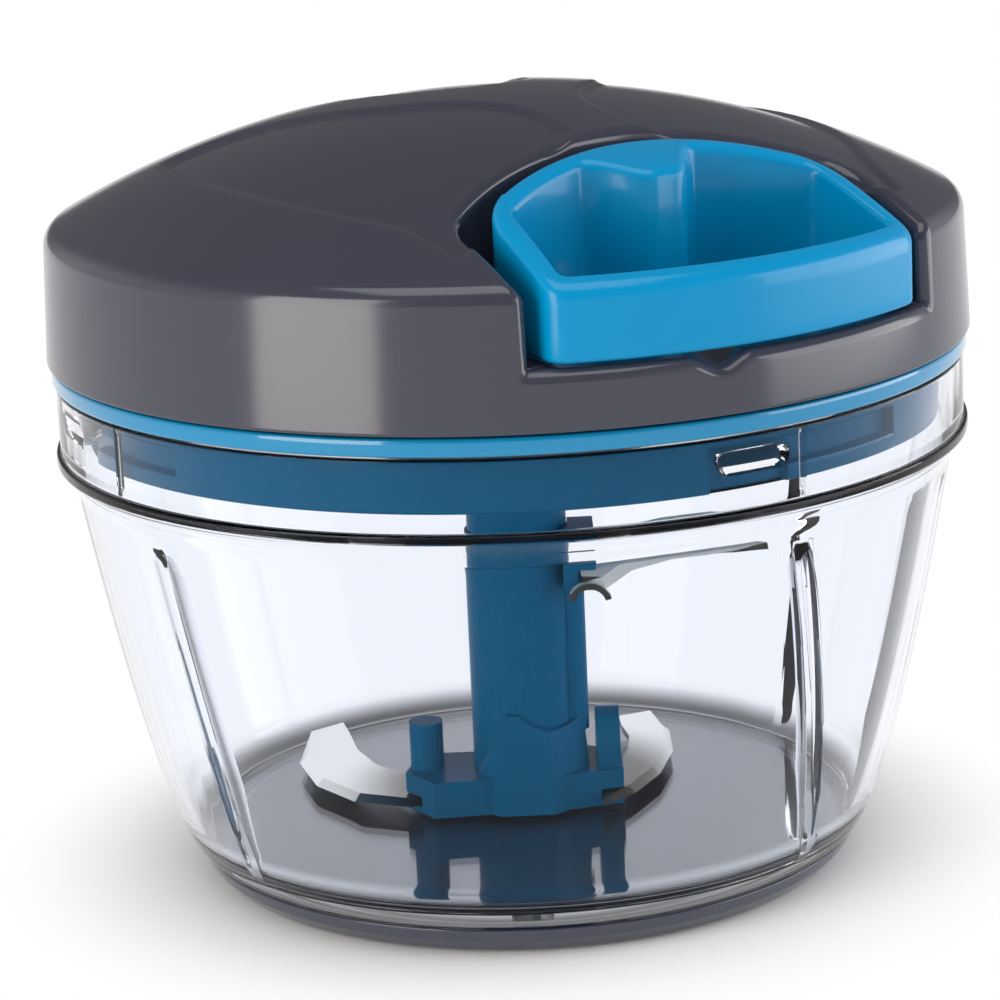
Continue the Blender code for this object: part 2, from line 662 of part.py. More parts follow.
def dome_height(radius, sphere=DOME_RADIUS):
    """Height of a sphere about the dome's centre at a distance from the axis."""
    return DOME_CENTRE + math.sqrt(sphere**2 - radius**2)


def cover_section(wall, low):
    """Half section of the dome and its side, moved inwards by a wall, closed along the axis."""
    side = LID_RADIUS - WALL_DRAFT - wall
    sphere = DOME_RADIUS - wall
    bend = max(SHOULDER_ROUND - wall, 0.5 * MM)
    bend_x = side - bend
    bend_z = DOME_CENTRE + math.sqrt((sphere - bend) ** 2 - bend_x**2)
    end = math.degrees(math.atan2(bend_z - DOME_CENTRE, bend_x))
    crown_facets = 6
    reach = bend_x + bend * math.cos(math.radians(end))
    section = [(0, low), (LID_RADIUS - wall, low)]
    section += arc((bend_x, bend_z), bend, 0, end, 3)
    for index in range(crown_facets - 1, -1, -1):
        radius = reach * index / crown_facets
        section.append((radius, dome_height(radius, sphere)))
    return section


def handle_outline():
    """Plan of the handle: front arc on the lid's side, leaning sides, and a wide back arc."""
    front = LID_RADIUS - HANDLE_FRONT_INSET
    half = math.degrees(math.asin(HANDLE_HALF_WIDTH / front))
    back_half_width = HANDLE_HALF_WIDTH - HANDLE_SIDE_LEAN
    back = math.degrees(math.asin(back_half_width / HANDLE_BACK_RADIUS))
    steps = 8
    outline = arc((0, 0), front, -half, half, steps)
    outline += arc((BACK_ARC_CENTRE, 0), HANDLE_BACK_RADIUS, 180 - back, 180 + back, steps)
    radii = [0.0] * len(outline)
    radii[0] = radii[steps] = HANDLE_FRONT_CORNER
    radii[steps + 1] = radii[-1] = HANDLE_BACK_CORNER
    return rounded(outline, radii)


def hole_outline():
    """Plan of the finger hole: the handle's plan less its wall, with the cord boss standing in."""
    front = LID_RADIUS - HANDLE_FRONT_INSET - HANDLE_WALL
    side = HANDLE_HALF_WIDTH - HANDLE_WALL
    back_side = side - HANDLE_SIDE_LEAN
    half = math.degrees(math.asin(side / front))
    arc_radius = HANDLE_BACK_RADIUS - HANDLE_WALL
    steps = 8
    outline = arc((0, 0), front, -half, half, steps)
    back = []
    back_steps = 20
    for index in range(back_steps + 1):
        y = back_side * (1 - 2 * index / back_steps)
        x = BACK_ARC_CENTRE - math.sqrt(arc_radius**2 - y**2)
        spread = CORD_BOSS_SPREAD[y > 0]
        share = min(max(abs(y) - CORD_BOSS_FLAT, 0) / (spread - CORD_BOSS_FLAT), 1)
        x += CORD_BOSS_REACH * (1 + math.cos(math.pi * share)) / 2
        back.append((x, y))
    radii = [0.0] * (len(outline) + len(back))
    radii[0] = radii[steps] = HANDLE_FRONT_CORNER / 2
    radii[steps + 1] = radii[-1] = HANDLE_WALL / 2
    return rounded(outline + back, radii)


def outward(points):
    """The outline's unit normals, pointing out of an anticlockwise outline."""
    made = []
    count = len(points)
    for index in range(count):
        along = (points[(index + 1) % count] - points[index - 1]).normalized()
        made.append(Vector((along.y, -along.x)))
    return made


def handle_shape():
    """A ring between the two plans, flat below, its top on the dome, with rounded edges."""
    count = 72
    outer = resampled(handle_outline(), count)
    inner = resampled(hole_outline(), count)
    outer_out = outward(outer)
    inner_out = outward(inner)
    soft = HANDLE_EDGE_ROUND
    cut = soft * (1 - math.sqrt(0.5))
    levels = (
        (outer, outer_out, soft, None, 0),
        (outer, outer_out, 0, None, soft),
        (outer, outer_out, 0, "top", soft),
        (outer, outer_out, cut, "top", cut),
        (outer, outer_out, soft, "top", 0),
        (inner, inner_out, -soft, "top", 0),
        (inner, inner_out, -cut, "top", cut),
        (inner, inner_out, 0, "top", soft),
        (inner, inner_out, 0, None, soft),
        (inner, inner_out, -soft, None, 0),
    )
    bm = bmesh.new()
    rows = []
    for line, normals, inset, at_top, step in levels:
        row = []
        for point, normal in zip(line, normals):
            place = point - normal * inset
            height = dome_height(place.length) - step if at_top else HANDLE_LOW + step
            row.append(bm.verts.new((place.x, place.y, height)))
        rows.append(row)
    for row, following in zip(rows, rows[1:] + rows[:1]):
        for index in range(count):
            after = (index + 1) % count
            bm.faces.new((row[index], row[after], following[after], following[index]))
    return bm


def recess_outline(grow):
    """Plan of the handle's recess, open to the lid's side, grown by a wall."""
    half = HANDLE_HALF_WIDTH + HANDLE_TRAVEL_CLEAR + grow
    radius = HANDLE_BACK_RADIUS + HANDLE_TRAVEL_CLEAR + grow
    mouth = LID_RADIUS + 10 * MM
    back = math.degrees(math.asin(half / radius))
    steps = 8
    outline = [(mouth, -half), (mouth, half)]
    outline += arc((BACK_ARC_CENTRE, 0), radius, 180 - back, 180 + back, steps)
    radii = [0.0] * len(outline)
    radii[2] = radii[-1] = RECESS_CORNER
    return rounded(outline, radii)


def leaf_outline(points, mirror=False):
    """A leaf's plan as a closed smooth curve through its points, read at even steps."""
    corners = [Vector((x * MM, (-y if mirror else y) * MM)) for x, y in points]
    count = len(corners)
    made = []
    for index in range(count):
        p0, p1 = corners[index - 1], corners[index]
        p2, p3 = corners[(index + 1) % count], corners[(index + 2) % count]
        for step in range(3):
            t = step / 3
            near = (p2 - p0) * t + (p0 * 2 - p1 * 5 + p2 * 4 - p3) * t**2
            made.append(tuple((p1 * 2 + near + (p1 * 3 - p0 - p2 * 3 + p3) * t**3) / 2))
    return made


# Plan points of the leaf-shaped fields in the dome, in mm, with +X towards the handle
SIDE_LEAF = (
    (29.0, -7.5), (22.0, -5.2), (14.0, -5.6), (6.0, -10.0), (-3.0, -18.5), (-13.0, -24.5), (-21.0, -31.0),
    (-24.0, -40.0), (-13.0, -44.4), (0.0, -45.6), (13.0, -44.6), (26.0, -41.2), (37.0, -36.6), (46.0, -34.6),
    (44.0, -31.0), (37.0, -25.0),
)
BACK_LEAF = (
    (-4.0, 0.0), (-8.0, -8.5), (-20.0, -14.0), (-34.0, -17.0), (-46.0, -14.0), (-53.0, 0.0), (-46.0, 14.0),
    (-34.0, 17.0), (-20.0, 14.0), (-8.0, 8.5),
)


def make_lid_cover(finish, handle_frame):
    """The domed cover: a shell with the handle's recess, leaf fields, screw bosses and axle boss."""
    cover = add_object("lid_cover", turned(cover_section(0.0, COVER_LOW)), finish["charcoal"])
    half_facet = 180 / LARGE_FACETS
    hollow = add_cutter(
        "cover_hollow", moved(turned(cover_section(LID_WALL, COVER_LOW - MM)), turn=half_facet)
    )
    deep = RECESS_FLOOR - RECESS_WALL
    pocket_wall = add_cutter(
        "recess_wall_form", prism(recess_outline(RECESS_WALL), deep, DOME_TOP + MM), handle_frame
    )
    combine(hollow, pocket_wall)
    for index, (x, y) in enumerate(lid_screw_places()):
        boss = disc(SCREW_BOSS_RADIUS, PLATE_TOP + GAP, DOME_TOP, TINY_FACETS)
        combine(hollow, add_cutter(f"screw_boss_form_{index + 1}", moved(boss, offset=(x, y, 0))))
    boss_radius = AXLE_BORE + AXLE_BOSS_WALL
    axle_boss = moved(disc(boss_radius, AXLE_BOSS_LOW, DOME_TOP + MM), turn=-HOLE_TURN)
    combine(hollow, add_cutter("axle_boss_form", axle_boss))
    combine(cover, hollow)
    recess = add_cutter("recess_form", prism(recess_outline(0.0), RECESS_FLOOR, DOME_TOP + MM), handle_frame)
    combine(cover, recess)
    reach = (FINGER_NOTCH_RADIUS - FINGER_NOTCH_DEPTH) * math.sqrt(0.5)
    notch = bmesh.new()
    bmesh.ops.create_uvsphere(notch, u_segments=16, v_segments=10, radius=FINGER_NOTCH_RADIUS)
    moved(notch, offset=(LID_RADIUS + reach, 0, RECESS_FLOOR + reach))
    moved(notch, turn=FINGER_NOTCH_TURN)
    combine(cover, add_cutter("finger_notch_form", notch, handle_frame))
    lowered = moved(turned(cover_section(0.0, 0.0)), offset=(0, 0, -LEAF_DEPTH))
    leaf_floor = add_cutter("leaf_floor_form", lowered)
    for name, points, mirror in (
        ("left", SIDE_LEAF, False), ("right", SIDE_LEAF, True), ("back", BACK_LEAF, False),
    ):
        shape = prism(leaf_outline(points, mirror), RECESS_FLOOR, DOME_TOP + MM)
        leaf = add_cutter(f"leaf_form_{name}", shape, handle_frame)
        combine(leaf, leaf_floor)
        combine(cover, leaf)
    for index, (x, y) in enumerate(lid_screw_places()):
        bore = hole(SCREW_RADIUS + GAP, PLATE_TOP, PLATE_TOP + SCREW_GRIP + MM)
        combine(cover, add_cutter(f"boss_hole_{index + 1}", moved(bore, offset=(x, y, 0))))
    axle_seat = hole(AXLE_BORE, AXLE_BOSS_LOW - MM, AXLE_TOP + GAP, SMALL_FACETS)
    combine(cover, add_cutter("axle_seat_form", axle_seat))
    seat_radius = CORD_RADIUS + GAP + GUIDE_WALL + GAP
    guide_seat = hole(seat_radius, RECESS_BACK - 2 * RECESS_WALL, HANDLE_BACK)
    moved(guide_seat, turn=90, axis="Y")
    combine(cover, add_cutter("guide_seat_form", moved(guide_seat, offset=(0, 0, CORD_Z)), handle_frame))


def make_screw(name, place, length, finish):
    """A pan-head screw, put in from below the plate."""
    x, y = place
    head_top = PLATE_LOW - GAP
    low = head_top - SCREW_HEAD_HEIGHT
    section = (
        (0, low),
        (SCREW_HEAD_RADIUS - SCREW_HEAD_HEIGHT / 2, low),
        (SCREW_HEAD_RADIUS, low + SCREW_HEAD_HEIGHT / 2),
        (SCREW_HEAD_RADIUS, head_top),
        (SCREW_RADIUS, head_top),
        (SCREW_RADIUS, PLATE_TOP + length - SCREW_RADIUS),
        (0, PLATE_TOP + length),
    )
    screw = add_object(name, turned(section, TINY_FACETS), finish["pin"])
    screw.location = (x, y, 0)


def make_screws(finish):
    """Four screws hold the cover and three the spring housing."""
    for index, place in enumerate(lid_screw_places()):
        make_screw(f"lid_screw_{index + 1}", place, SCREW_GRIP, finish)
    for index, place in enumerate(housing_screw_places()):
        make_screw(f"housing_screw_{index + 1}", place, HOUSING_SCREW_GRIP, finish)


def make_spring_housing(finish):
    """The cup under the reel, with three screw ears, and the spiral spring that lies in it."""
    bore = REEL_TUBE_RADIUS + RUNNING_GAP
    floor = HOUSING_LOW + HOUSING_FLOOR
    top = REEL_FLANGE_LOW - RUNNING_GAP
    inside = HOUSING_RADIUS - HOUSING_WALL
    section = (
        (bore, HOUSING_LOW),
        (HOUSING_RADIUS, HOUSING_LOW),
        (HOUSING_RADIUS, top),
        (inside, top),
        (inside, floor),
        (bore, floor),
    )
    housing = add_object("spring_housing", turned(section, 48), finish["white"])
    for index, (azimuth, x, y) in enumerate(ring_places(EAR_COUNT, EAR_AZIMUTH, EAR_RING)):
        ear = arc((EAR_RING, 0), EAR_RADIUS, -90, 90, 8)
        ear += [(inside + HOUSING_WALL / 2, EAR_RADIUS), (inside + HOUSING_WALL / 2, -EAR_RADIUS)]
        shape = moved(prism(ear, HOUSING_LOW, HOUSING_LOW + EAR_HEIGHT), turn=azimuth)
        combine(housing, add_cutter(f"ear_form_{index + 1}", shape), "UNION")
        ear_bore = hole(SCREW_RADIUS + GAP, HOUSING_LOW - MM, HOUSING_LOW + EAR_HEIGHT + MM)
        combine(housing, add_cutter(f"ear_hole_{index + 1}", moved(ear_bore, offset=(x, y, 0))))
    low = floor + GAP
    high = top - 2 * GAP
    count = SPRING_TURNS * SPRING_FACETS_PER_TURN
    start = REEL_TUBE_RADIUS + RUNNING_GAP + SPRING_STRIP / 2
    inner = []
    outer = []
    for index in range(count + 1):
        turn = math.tau * index / SPRING_FACETS_PER_TURN
        radius = start + SPRING_PITCH * index / SPRING_FACETS_PER_TURN
        direction = Vector((math.cos(turn), math.sin(turn)))
        inner.append(tuple(direction * (radius - SPRING_STRIP / 2)))
        outer.append(tuple(direction * (radius + SPRING_STRIP / 2)))
    bm = bmesh.new()
    rows = []
    for line, height in ((inner, low), (outer, low), (outer, high), (inner, high)):
        rows.append([bm.verts.new((x, y, height)) for x, y in line])
    for row, following in zip(rows, rows[1:] + rows[:1]):
        for index in range(count):
            bm.faces.new((row[index], row[index + 1], following[index + 1], following[index]))
    for end in (0, count):
        bm.faces.new([row[end] for row in rows])
    add_object("recoil_spring", bm, finish["spring"])


def make_reel(finish):
    """The cord reel with its winding, the fixed axle it turns on, and the drive hub below it."""
    tube_low = PLATE_LOW
    section = (
        (AXLE_BORE, tube_low),
        (REEL_TUBE_RADIUS, tube_low),
        (REEL_TUBE_RADIUS, REEL_FLANGE_LOW),
        (REEL_FLANGE_RADIUS, REEL_FLANGE_LOW),
        (REEL_FLANGE_RADIUS, SPOOL_LOW),
        (REEL_CORE_RADIUS, SPOOL_LOW),
        (REEL_CORE_RADIUS, SPOOL_HIGH),
        (REEL_FLANGE_RADIUS, SPOOL_HIGH),
        (REEL_FLANGE_RADIUS, REEL_TOP),
        (AXLE_BORE, REEL_TOP),
    )
    add_object("cord_reel", turned(section, 40), finish["white"])
    inner = REEL_CORE_RADIUS + GAP
    outer = inner + WINDING_DEPTH
    low = SPOOL_LOW + GAP
    high = SPOOL_HIGH - GAP
    winding = ((inner, low), (outer, low), (outer, high), (inner, high))
    add_object("cord_winding", turned(winding, 40), finish["cord"])
    axle_low = AXLE_TOP - AXLE_LENGTH
    soft = 0.5 * MM
    axle = (
        (0, axle_low),
        (AXLE_RADIUS - soft, axle_low),
        (AXLE_RADIUS, axle_low + soft),
        (AXLE_RADIUS, AXLE_TOP - soft),
        (AXLE_RADIUS - soft, AXLE_TOP),
        (0, AXLE_TOP),
    )
    add_object("reel_axle", turned(axle, 24), finish["pin"])


def make_drive_hub(finish):
    """The hub fixed in the reel's tube: a flange under the plate and a plug with two dogs."""
    plug_low = HUB_LOW - HUB_PLUG_LENGTH
    spigot = AXLE_BORE - GAP
    section = (
        (0, plug_low),
        (HUB_PLUG_RADIUS, plug_low),
        (HUB_PLUG_RADIUS, HUB_LOW),
        (HUB_FLANGE_RADIUS, HUB_LOW),
        (HUB_FLANGE_RADIUS, HUB_TOP),
        (spigot, HUB_TOP),
        (spigot, HUB_TOP + HUB_SPIGOT_LENGTH),
        (0, HUB_TOP + HUB_SPIGOT_LENGTH),
    )
    hub = add_object("drive_hub", turned(section, SMALL_FACETS), finish["teal"])
    half = DOG_ANGLE / 2
    for index, centre in enumerate((0, 180)):
        dog = arc_band(
            HUB_PLUG_RADIUS / 2, DOG_RADIUS, centre - half, centre + half, plug_low + GAP, HUB_LOW + MM / 2
        )
        combine(hub, add_cutter(f"dog_form_{index + 1}", dog), "UNION")


def make_handle(finish, handle_frame):
    """The pull handle with its cord passage, the cord, the knot that holds it, and the guide."""
    handle = add_object("pull_handle", handle_shape(), finish["sky"], handle_frame)
    passage = CORD_RADIUS + GAP
    pocket = KNOT_RADIUS + GAP
    boss_face = HANDLE_BACK + HANDLE_WALL + CORD_BOSS_REACH
    pocket_floor = boss_face - KNOT_POCKET_DEPTH
    for name, shape in (
        ("cord_passage_form", disc(passage, HANDLE_BACK - MM, pocket_floor + MM, TINY_FACETS)),
        ("knot_pocket_form", hole(pocket, pocket_floor, boss_face + 2 * MM)),
    ):
        bore = moved(moved(shape, turn=90, axis="Y"), offset=(0, 0, CORD_Z))
        combine(handle, add_cutter(name, bore, handle_frame))
    knot = bmesh.new()
    bmesh.ops.create_uvsphere(knot, u_segments=14, v_segments=10, radius=KNOT_RADIUS)
    knot_x = pocket_floor + GAP + KNOT_RADIUS
    add_object("cord_knot", moved(knot, offset=(knot_x, 0, CORD_Z)), finish["cord"], handle_frame)
    tail = RECESS_BACK - RECESS_WALL - GUIDE_TAIL
    bore = CORD_RADIUS + GAP
    outer = bore + GUIDE_WALL
    flange = RECESS_BACK + GAP
    section = (
        (bore, tail),
        (outer, tail),
        (outer, flange),
        (GUIDE_FLANGE_RADIUS, flange),
        (GUIDE_FLANGE_RADIUS, flange + GUIDE_FLANGE_THICKNESS),
        (bore, flange + GUIDE_FLANGE_THICKNESS),
    )
    guide = moved(turned(section, TINY_FACETS), turn=90, axis="Y")
    add_object("cord_guide", moved(guide, offset=(0, 0, CORD_Z)), finish["pin"], handle_frame)
    straight = [(tail + GAP, 0, CORD_Z), (HANDLE_BACK, 0, CORD_Z), (pocket_floor, 0, CORD_Z)]
    add_cord("pull_cord", straight, finish, handle_frame)
    wound = REEL_CORE_RADIUS + GAP + WINDING_DEPTH + GAP + CORD_RADIUS
    mouth = tail - CORD_RADIUS
    touch = math.acos(wound / mouth)
    leave = Vector((wound * math.cos(touch), -wound * math.sin(touch), CORD_Z))
    arrive = Vector((mouth, 0, CORD_Z))
    add_cord("cord_lead", [leave, leave.lerp(arrive, 0.5), arrive], finish, handle_frame)


def add_cord(name, points, finish, parent):
    """A stretch of the pull cord."""
    cord = bpy.data.objects.new(name, tube(points, CORD_RADIUS))
    cord.data.materials.append(finish["cord"])
    cord.parent = parent
    bpy.context.scene.collection.objects.link(cord)


def blade_shape(back, edge, height, pitch=0.0, grow=0.0):
    """A plate between a back and a ground cutting edge, tipped about X; grow makes its slot."""
    outline = [Vector((x * MM, y * MM)) for x, y in back] + [Vector((x * MM, y * MM)) for x, y in edge[::-1]]
    area = sum(a.x * b.y - b.x * a.y for a, b in zip(outline, outline[1:] + outline[:1]))
    side = 1 if area > 0 else -1
    normals = [normal * side for normal in outward(outline)]
    half = BLADE_THICKNESS / 2 + grow
    slope = math.tan(math.radians(pitch))
    ground = [0.0] * len(back) + [0.0 if grow else BLADE_GRIND] * len(edge)
    ground[-1] = ground[len(back)] = 0.0
    bm = bmesh.new()
    rows = []
    for level, insets in ((-half, [0.0] * len(outline)), (half, ground)):
        row = []
        for point, normal, inset in zip(outline, normals, insets):
            place = point + normal * (grow - inset)
            row.append(bm.verts.new((place.x, place.y, height + level + slope * place.y)))
        rows.append(row)
    low, high = rows
    count = len(outline)
    bm.faces.new(low)
    bm.faces.new(high[::-1])
    for index in range(count):
        after = (index + 1) % count
        bm.faces.new((low[after], low[index], high[index], high[after]))
    return bm


BLADES = (
    ("left_blade", LEFT_BLADE_BACK, LEFT_BLADE_EDGE, LOWER_BLADE_HEIGHT, 0.0),
    ("right_blade", RIGHT_BLADE_BACK, RIGHT_BLADE_EDGE, LOWER_BLADE_HEIGHT, 0.0),
    ("upper_blade", UPPER_BLADE_BACK, UPPER_BLADE_EDGE, UPPER_BLADE_HEIGHT, UPPER_BLADE_PITCH_ANGLE),
)


def post_section():
    """The post's straight barrel, with the pin's bore below and the sleeve's bore above."""
    low = FLOOR_TOP + GAP
    pin_bore = PIN_RADIUS + RUNNING_GAP
    pin_top = FLOOR_TOP - PIN_SEAT_DEPTH + GAP + PIN_RISE + RUNNING_GAP
    sleeve_bore = SLEEVE_SPIGOT_RADIUS + GAP
    sleeve_floor = POST_COLLAR_HEIGHT - SLEEVE_SPIGOT_LENGTH - GAP
    return (
        (pin_bore, low),
        (POST_RADIUS, low),
        (POST_RADIUS, POST_COLLAR_HEIGHT),
        (sleeve_bore, POST_COLLAR_HEIGHT),
        (sleeve_bore, sleeve_floor),
        (0, sleeve_floor),
        (0, pin_top),
        (pin_bore, pin_top),
    )


def clip_shape():
    """The small arched clip under the upper blade's heel."""
    middle = (CLIP_Y[0] + CLIP_Y[1]) / 2
    top = UPPER_BLADE_HEIGHT + math.tan(math.radians(UPPER_BLADE_PITCH_ANGLE)) * middle
    centre = (CLIP_X, top - CLIP_RADIUS)
    outline = arc(centre, CLIP_RADIUS, 15, 165, 10) + arc(centre, CLIP_RADIUS - CLIP_THICKNESS, 165, 15, 10)
    return across(outline, *CLIP_Y)


def make_hub_form():
    """The post's eight-sided foot: flared, ending behind a slanted edge, with a saddle in its top."""
    low = FLOOR_TOP + 2 * GAP
    root = POST_RADIUS / 2
    section = ((root, low), (HUB_FOOT_RADIUS, low), (HUB_TOP_RADIUS, HUB_TOP_HEIGHT), (root, HUB_TOP_HEIGHT))
    hub = add_cutter("hub_form", moved(turned(section, HUB_SIDES), turn=180 / HUB_SIDES))
    foot_x, top_x = HUB_EDGE_X
    reach = 2 * HUB_FOOT_RADIUS
    slope = (top_x - foot_x) / (HUB_TOP_HEIGHT - low)
    beside = (
        (foot_x - slope * MM, low - MM), (top_x + slope * MM, HUB_TOP_HEIGHT + MM),
        (-reach, HUB_TOP_HEIGHT + MM), (-reach, low - MM),
    )
    combine(hub, add_cutter("hub_edge_form", across(beside, -reach, reach)))
    saddle = arc((SADDLE_X, SADDLE_FLOOR + SADDLE_RADIUS), SADDLE_RADIUS, 0, 345, 23)
    combine(hub, add_cutter("saddle_form", across(saddle, -reach, reach)))
    return hub


def post_arms():
    """The blade carriers moulded on the post, as named shapes."""
    left = [(x * MM, y * MM) for x, y in LEFT_ARM]
    low_y, high_y = RIGHT_ARM_Y
    end = LOBE_X[1] + LOBE_LEDGE
    right = (
        (ARM_ROOT, low_y), (end, LOBE_Y[0] - LOBE_LEDGE), (end, LOBE_Y[1] + LOBE_LEDGE), (ARM_ROOT, high_y)
    )
    half = (LOBE_Y[1] - LOBE_Y[0]) / 2
    middle = (LOBE_Y[0] + LOBE_Y[1]) / 2
    lobe = arc((middle, LOBE_TOP - half), half, 0, 180, 10)
    lobe += [(LOBE_Y[0], ARM_HIGH - MM), (LOBE_Y[1], ARM_HIGH - MM)]
    upright = prism([(-height, along) for along, height in lobe], LOBE_X[0], LOBE_X[1])
    moved(upright, turn=90, axis="Y")
    peg = moved(disc(PEG_RADIUS, ARM_HIGH - MM, PEG_TOP, 20), offset=(*PEG_PLACE, 0))
    rib = disc(POST_RIB_RADIUS, POST_RIB_LOW, POST_RIB_HIGH, TINY_FACETS)
    moved(rib, offset=(POST_RIB_OFFSET, 0, 0))
    return (
        ("left_arm_form", prism(left, ARM_LOW, ARM_HIGH)),
        ("right_arm_form", prism(right, ARM_LOW, ARM_HIGH)),
        ("lobe_form", upright),
        ("peg_form", peg),
        ("post_rib_form", moved(rib, turn=POST_RIB_AZIMUTH)),
    )


def make_blade_unit(finish):
    """The post with its arms, the sleeve that takes the drive hub, and the three blades."""
    post = add_object("blade_post", turned(post_section(), 40), finish["teal"])
    combine(post, make_hub_form(), "UNION")
    for name, shape in post_arms():
        combine(post, add_cutter(name, shape), "UNION")
    bracket = add_cutter("bracket_form", block(BRACKET_X, BRACKET_Y, BRACKET_Z))
    room = hole(SLEEVE_RADIUS + GAP, POST_COLLAR_HEIGHT - MM, BRACKET_Z[1] + MM, SMALL_FACETS)
    combine(bracket, add_cutter("sleeve_room_form", room))
    combine(post, bracket, "UNION")
    for name, back, edge, height, pitch in BLADES:
        blade = add_object(name, blade_shape(back, edge, height, pitch), finish["steel"])
        slot = add_cutter(name + "_slot_form", blade_shape(back, edge, height, pitch, GAP))
        combine(post, slot)
        if pitch:
            combine(blade, add_cutter("blade_clip_form", clip_shape()), "UNION")
    section = (
        (0, POST_COLLAR_HEIGHT - SLEEVE_SPIGOT_LENGTH),
        (SLEEVE_SPIGOT_RADIUS, POST_COLLAR_HEIGHT - SLEEVE_SPIGOT_LENGTH),
        (SLEEVE_SPIGOT_RADIUS, POST_COLLAR_HEIGHT + GAP),
        (SLEEVE_RADIUS, POST_COLLAR_HEIGHT + GAP),
        (SLEEVE_RADIUS, SLEEVE_TOP),
        (SOCKET_RADIUS, SLEEVE_TOP),
        (SOCKET_RADIUS, SOCKET_LOW),
        (0, SOCKET_LOW),
    )
    sleeve = add_object("drive_sleeve", turned(section, 40), finish["teal"])
    half = DOG_ANGLE / 2
    inner = HUB_PLUG_RADIUS + RUNNING_GAP
    for index, centre in enumerate((90, 270)):
        key = arc_band(
            inner, SOCKET_RADIUS + SOCKET_WALL / 2, centre - half, centre + half, SOCKET_LOW - MM,
            SLEEVE_TOP - MM / 2,
        )
        combine(sleeve, add_cutter(f"key_form_{index + 1}", key), "UNION")


def build():
    """Clears the scene and makes every piece."""
    for old in list(bpy.data.objects):
        bpy.data.objects.remove(old)
    finish = make_materials()
    handle_frame = empty("handle_frame", HANDLE_AZIMUTH)
    make_bowl(finish)
    make_seal(finish)
    make_lid_base(finish)
    make_lid_cover(finish, handle_frame)
    make_screws(finish)
    make_spring_housing(finish)
    make_reel(finish)
    make_drive_hub(finish)
    make_handle(finish, handle_frame)
    make_blade_unit(finish)


build()
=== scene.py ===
"""Looks of a pull-cord vegetable chopper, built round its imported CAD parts."""

import math

import bmesh
import bpy
import numpy as np
from mathutils import Matrix, Vector


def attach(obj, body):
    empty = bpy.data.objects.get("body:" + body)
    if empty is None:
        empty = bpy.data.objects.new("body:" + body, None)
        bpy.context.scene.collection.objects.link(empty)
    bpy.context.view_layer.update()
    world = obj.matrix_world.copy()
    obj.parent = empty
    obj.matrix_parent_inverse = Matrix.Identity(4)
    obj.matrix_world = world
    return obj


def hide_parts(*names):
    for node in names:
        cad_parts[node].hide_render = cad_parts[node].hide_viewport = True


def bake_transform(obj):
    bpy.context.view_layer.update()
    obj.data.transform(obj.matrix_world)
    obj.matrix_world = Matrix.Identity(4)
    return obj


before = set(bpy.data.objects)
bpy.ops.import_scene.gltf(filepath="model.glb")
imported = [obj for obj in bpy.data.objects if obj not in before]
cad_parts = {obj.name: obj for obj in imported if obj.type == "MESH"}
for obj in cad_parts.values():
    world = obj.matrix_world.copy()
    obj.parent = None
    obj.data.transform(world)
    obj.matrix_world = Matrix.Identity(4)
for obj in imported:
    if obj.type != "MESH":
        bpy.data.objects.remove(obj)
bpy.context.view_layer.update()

# BOWL
# Clear injection-moulded bowl: a swelling wall with five leaning food ribs inside, a ledge, and a
# rim band whose inner side carries the bayonet lugs. It stands in the dark base.

MM = 0.001


class Wire:
    """A shader socket that takes part in arithmetic, and makes further nodes beside it."""

    def __init__(self, tree, socket):
        self.tree = tree
        self.socket = socket

    def node(self, kind, output=0, settings=None, **inputs):
        """Adds a node, sets its fields and inputs by name, and returns one of its outputs."""
        made = self.tree.nodes.new(kind)
        for field, value in (settings or {}).items():
            setattr(made, field, value)
        for name, value in inputs.items():
            plug(self.tree, made.inputs[name.replace("_", " ")], value)
        return Wire(self.tree, made.outputs[output])

    def maths(self, operation, *values):
        """A Math node of this socket and the other values."""
        made = self.tree.nodes.new("ShaderNodeMath")
        made.operation = operation
        for place, value in zip(made.inputs, (self, *values)):
            plug(self.tree, place, value)
        return Wire(self.tree, made.outputs[0])

    def __add__(self, other):
        return self.maths("ADD", other)

    def __mul__(self, other):
        return self.maths("MULTIPLY", other)

    def __rsub__(self, other):
        return self * -1.0 + other

    __radd__ = __add__
    __rmul__ = __mul__

    def step(self, start, end):
        """0 below start, 1 above end, smooth between."""
        return self.node(
            "ShaderNodeMapRange",
            settings={"interpolation_type": "SMOOTHSTEP"},
            Value=self,
            From_Min=start,
            From_Max=end,
        )

    def mix(self, first, second):
        """A colour between two, by this socket's value."""
        made = self.tree.nodes.new("ShaderNodeMix")
        made.data_type = "RGBA"
        # a colour mix has its factor at input 0 and its colours at 6 and 7, and ends at output 2
        plug(self.tree, made.inputs[0], self)
        plug(self.tree, made.inputs[6], first)
        plug(self.tree, made.inputs[7], second)
        return Wire(self.tree, made.outputs[2])


def plug(tree, place, value):
    """Links a wire into an input, or sets a constant on it."""
    if isinstance(value, Wire):
        tree.links.new(value.socket, place)
    elif isinstance(value, tuple) and len(value) == 3 and place.type == "RGBA":
        place.default_value = (*value, 1.0)
    else:
        place.default_value = value


def linear(red, green, blue):
    """A linear colour from display levels 0 to 255."""
    levels = np.array((red, green, blue)) / 255
    low = levels / 12.92
    high = ((levels + 0.055) / 1.055) ** 2.4
    return tuple(float(v) for v in np.where(levels <= 0.04045, low, high))


def finish(name, colour, roughness, **inputs):
    """A Principled material. Extra inputs are given by their names, with _ for a space."""
    made = bpy.data.materials.new(name)
    made.use_nodes = True
    tree = made.node_tree
    shader = tree.nodes["Principled BSDF"]
    plug(tree, shader.inputs["Base Color"], colour)
    plug(tree, shader.inputs["Roughness"], roughness)
    for key, value in inputs.items():
        plug(tree, shader.inputs[key.replace("_", " ")], value)
    return made


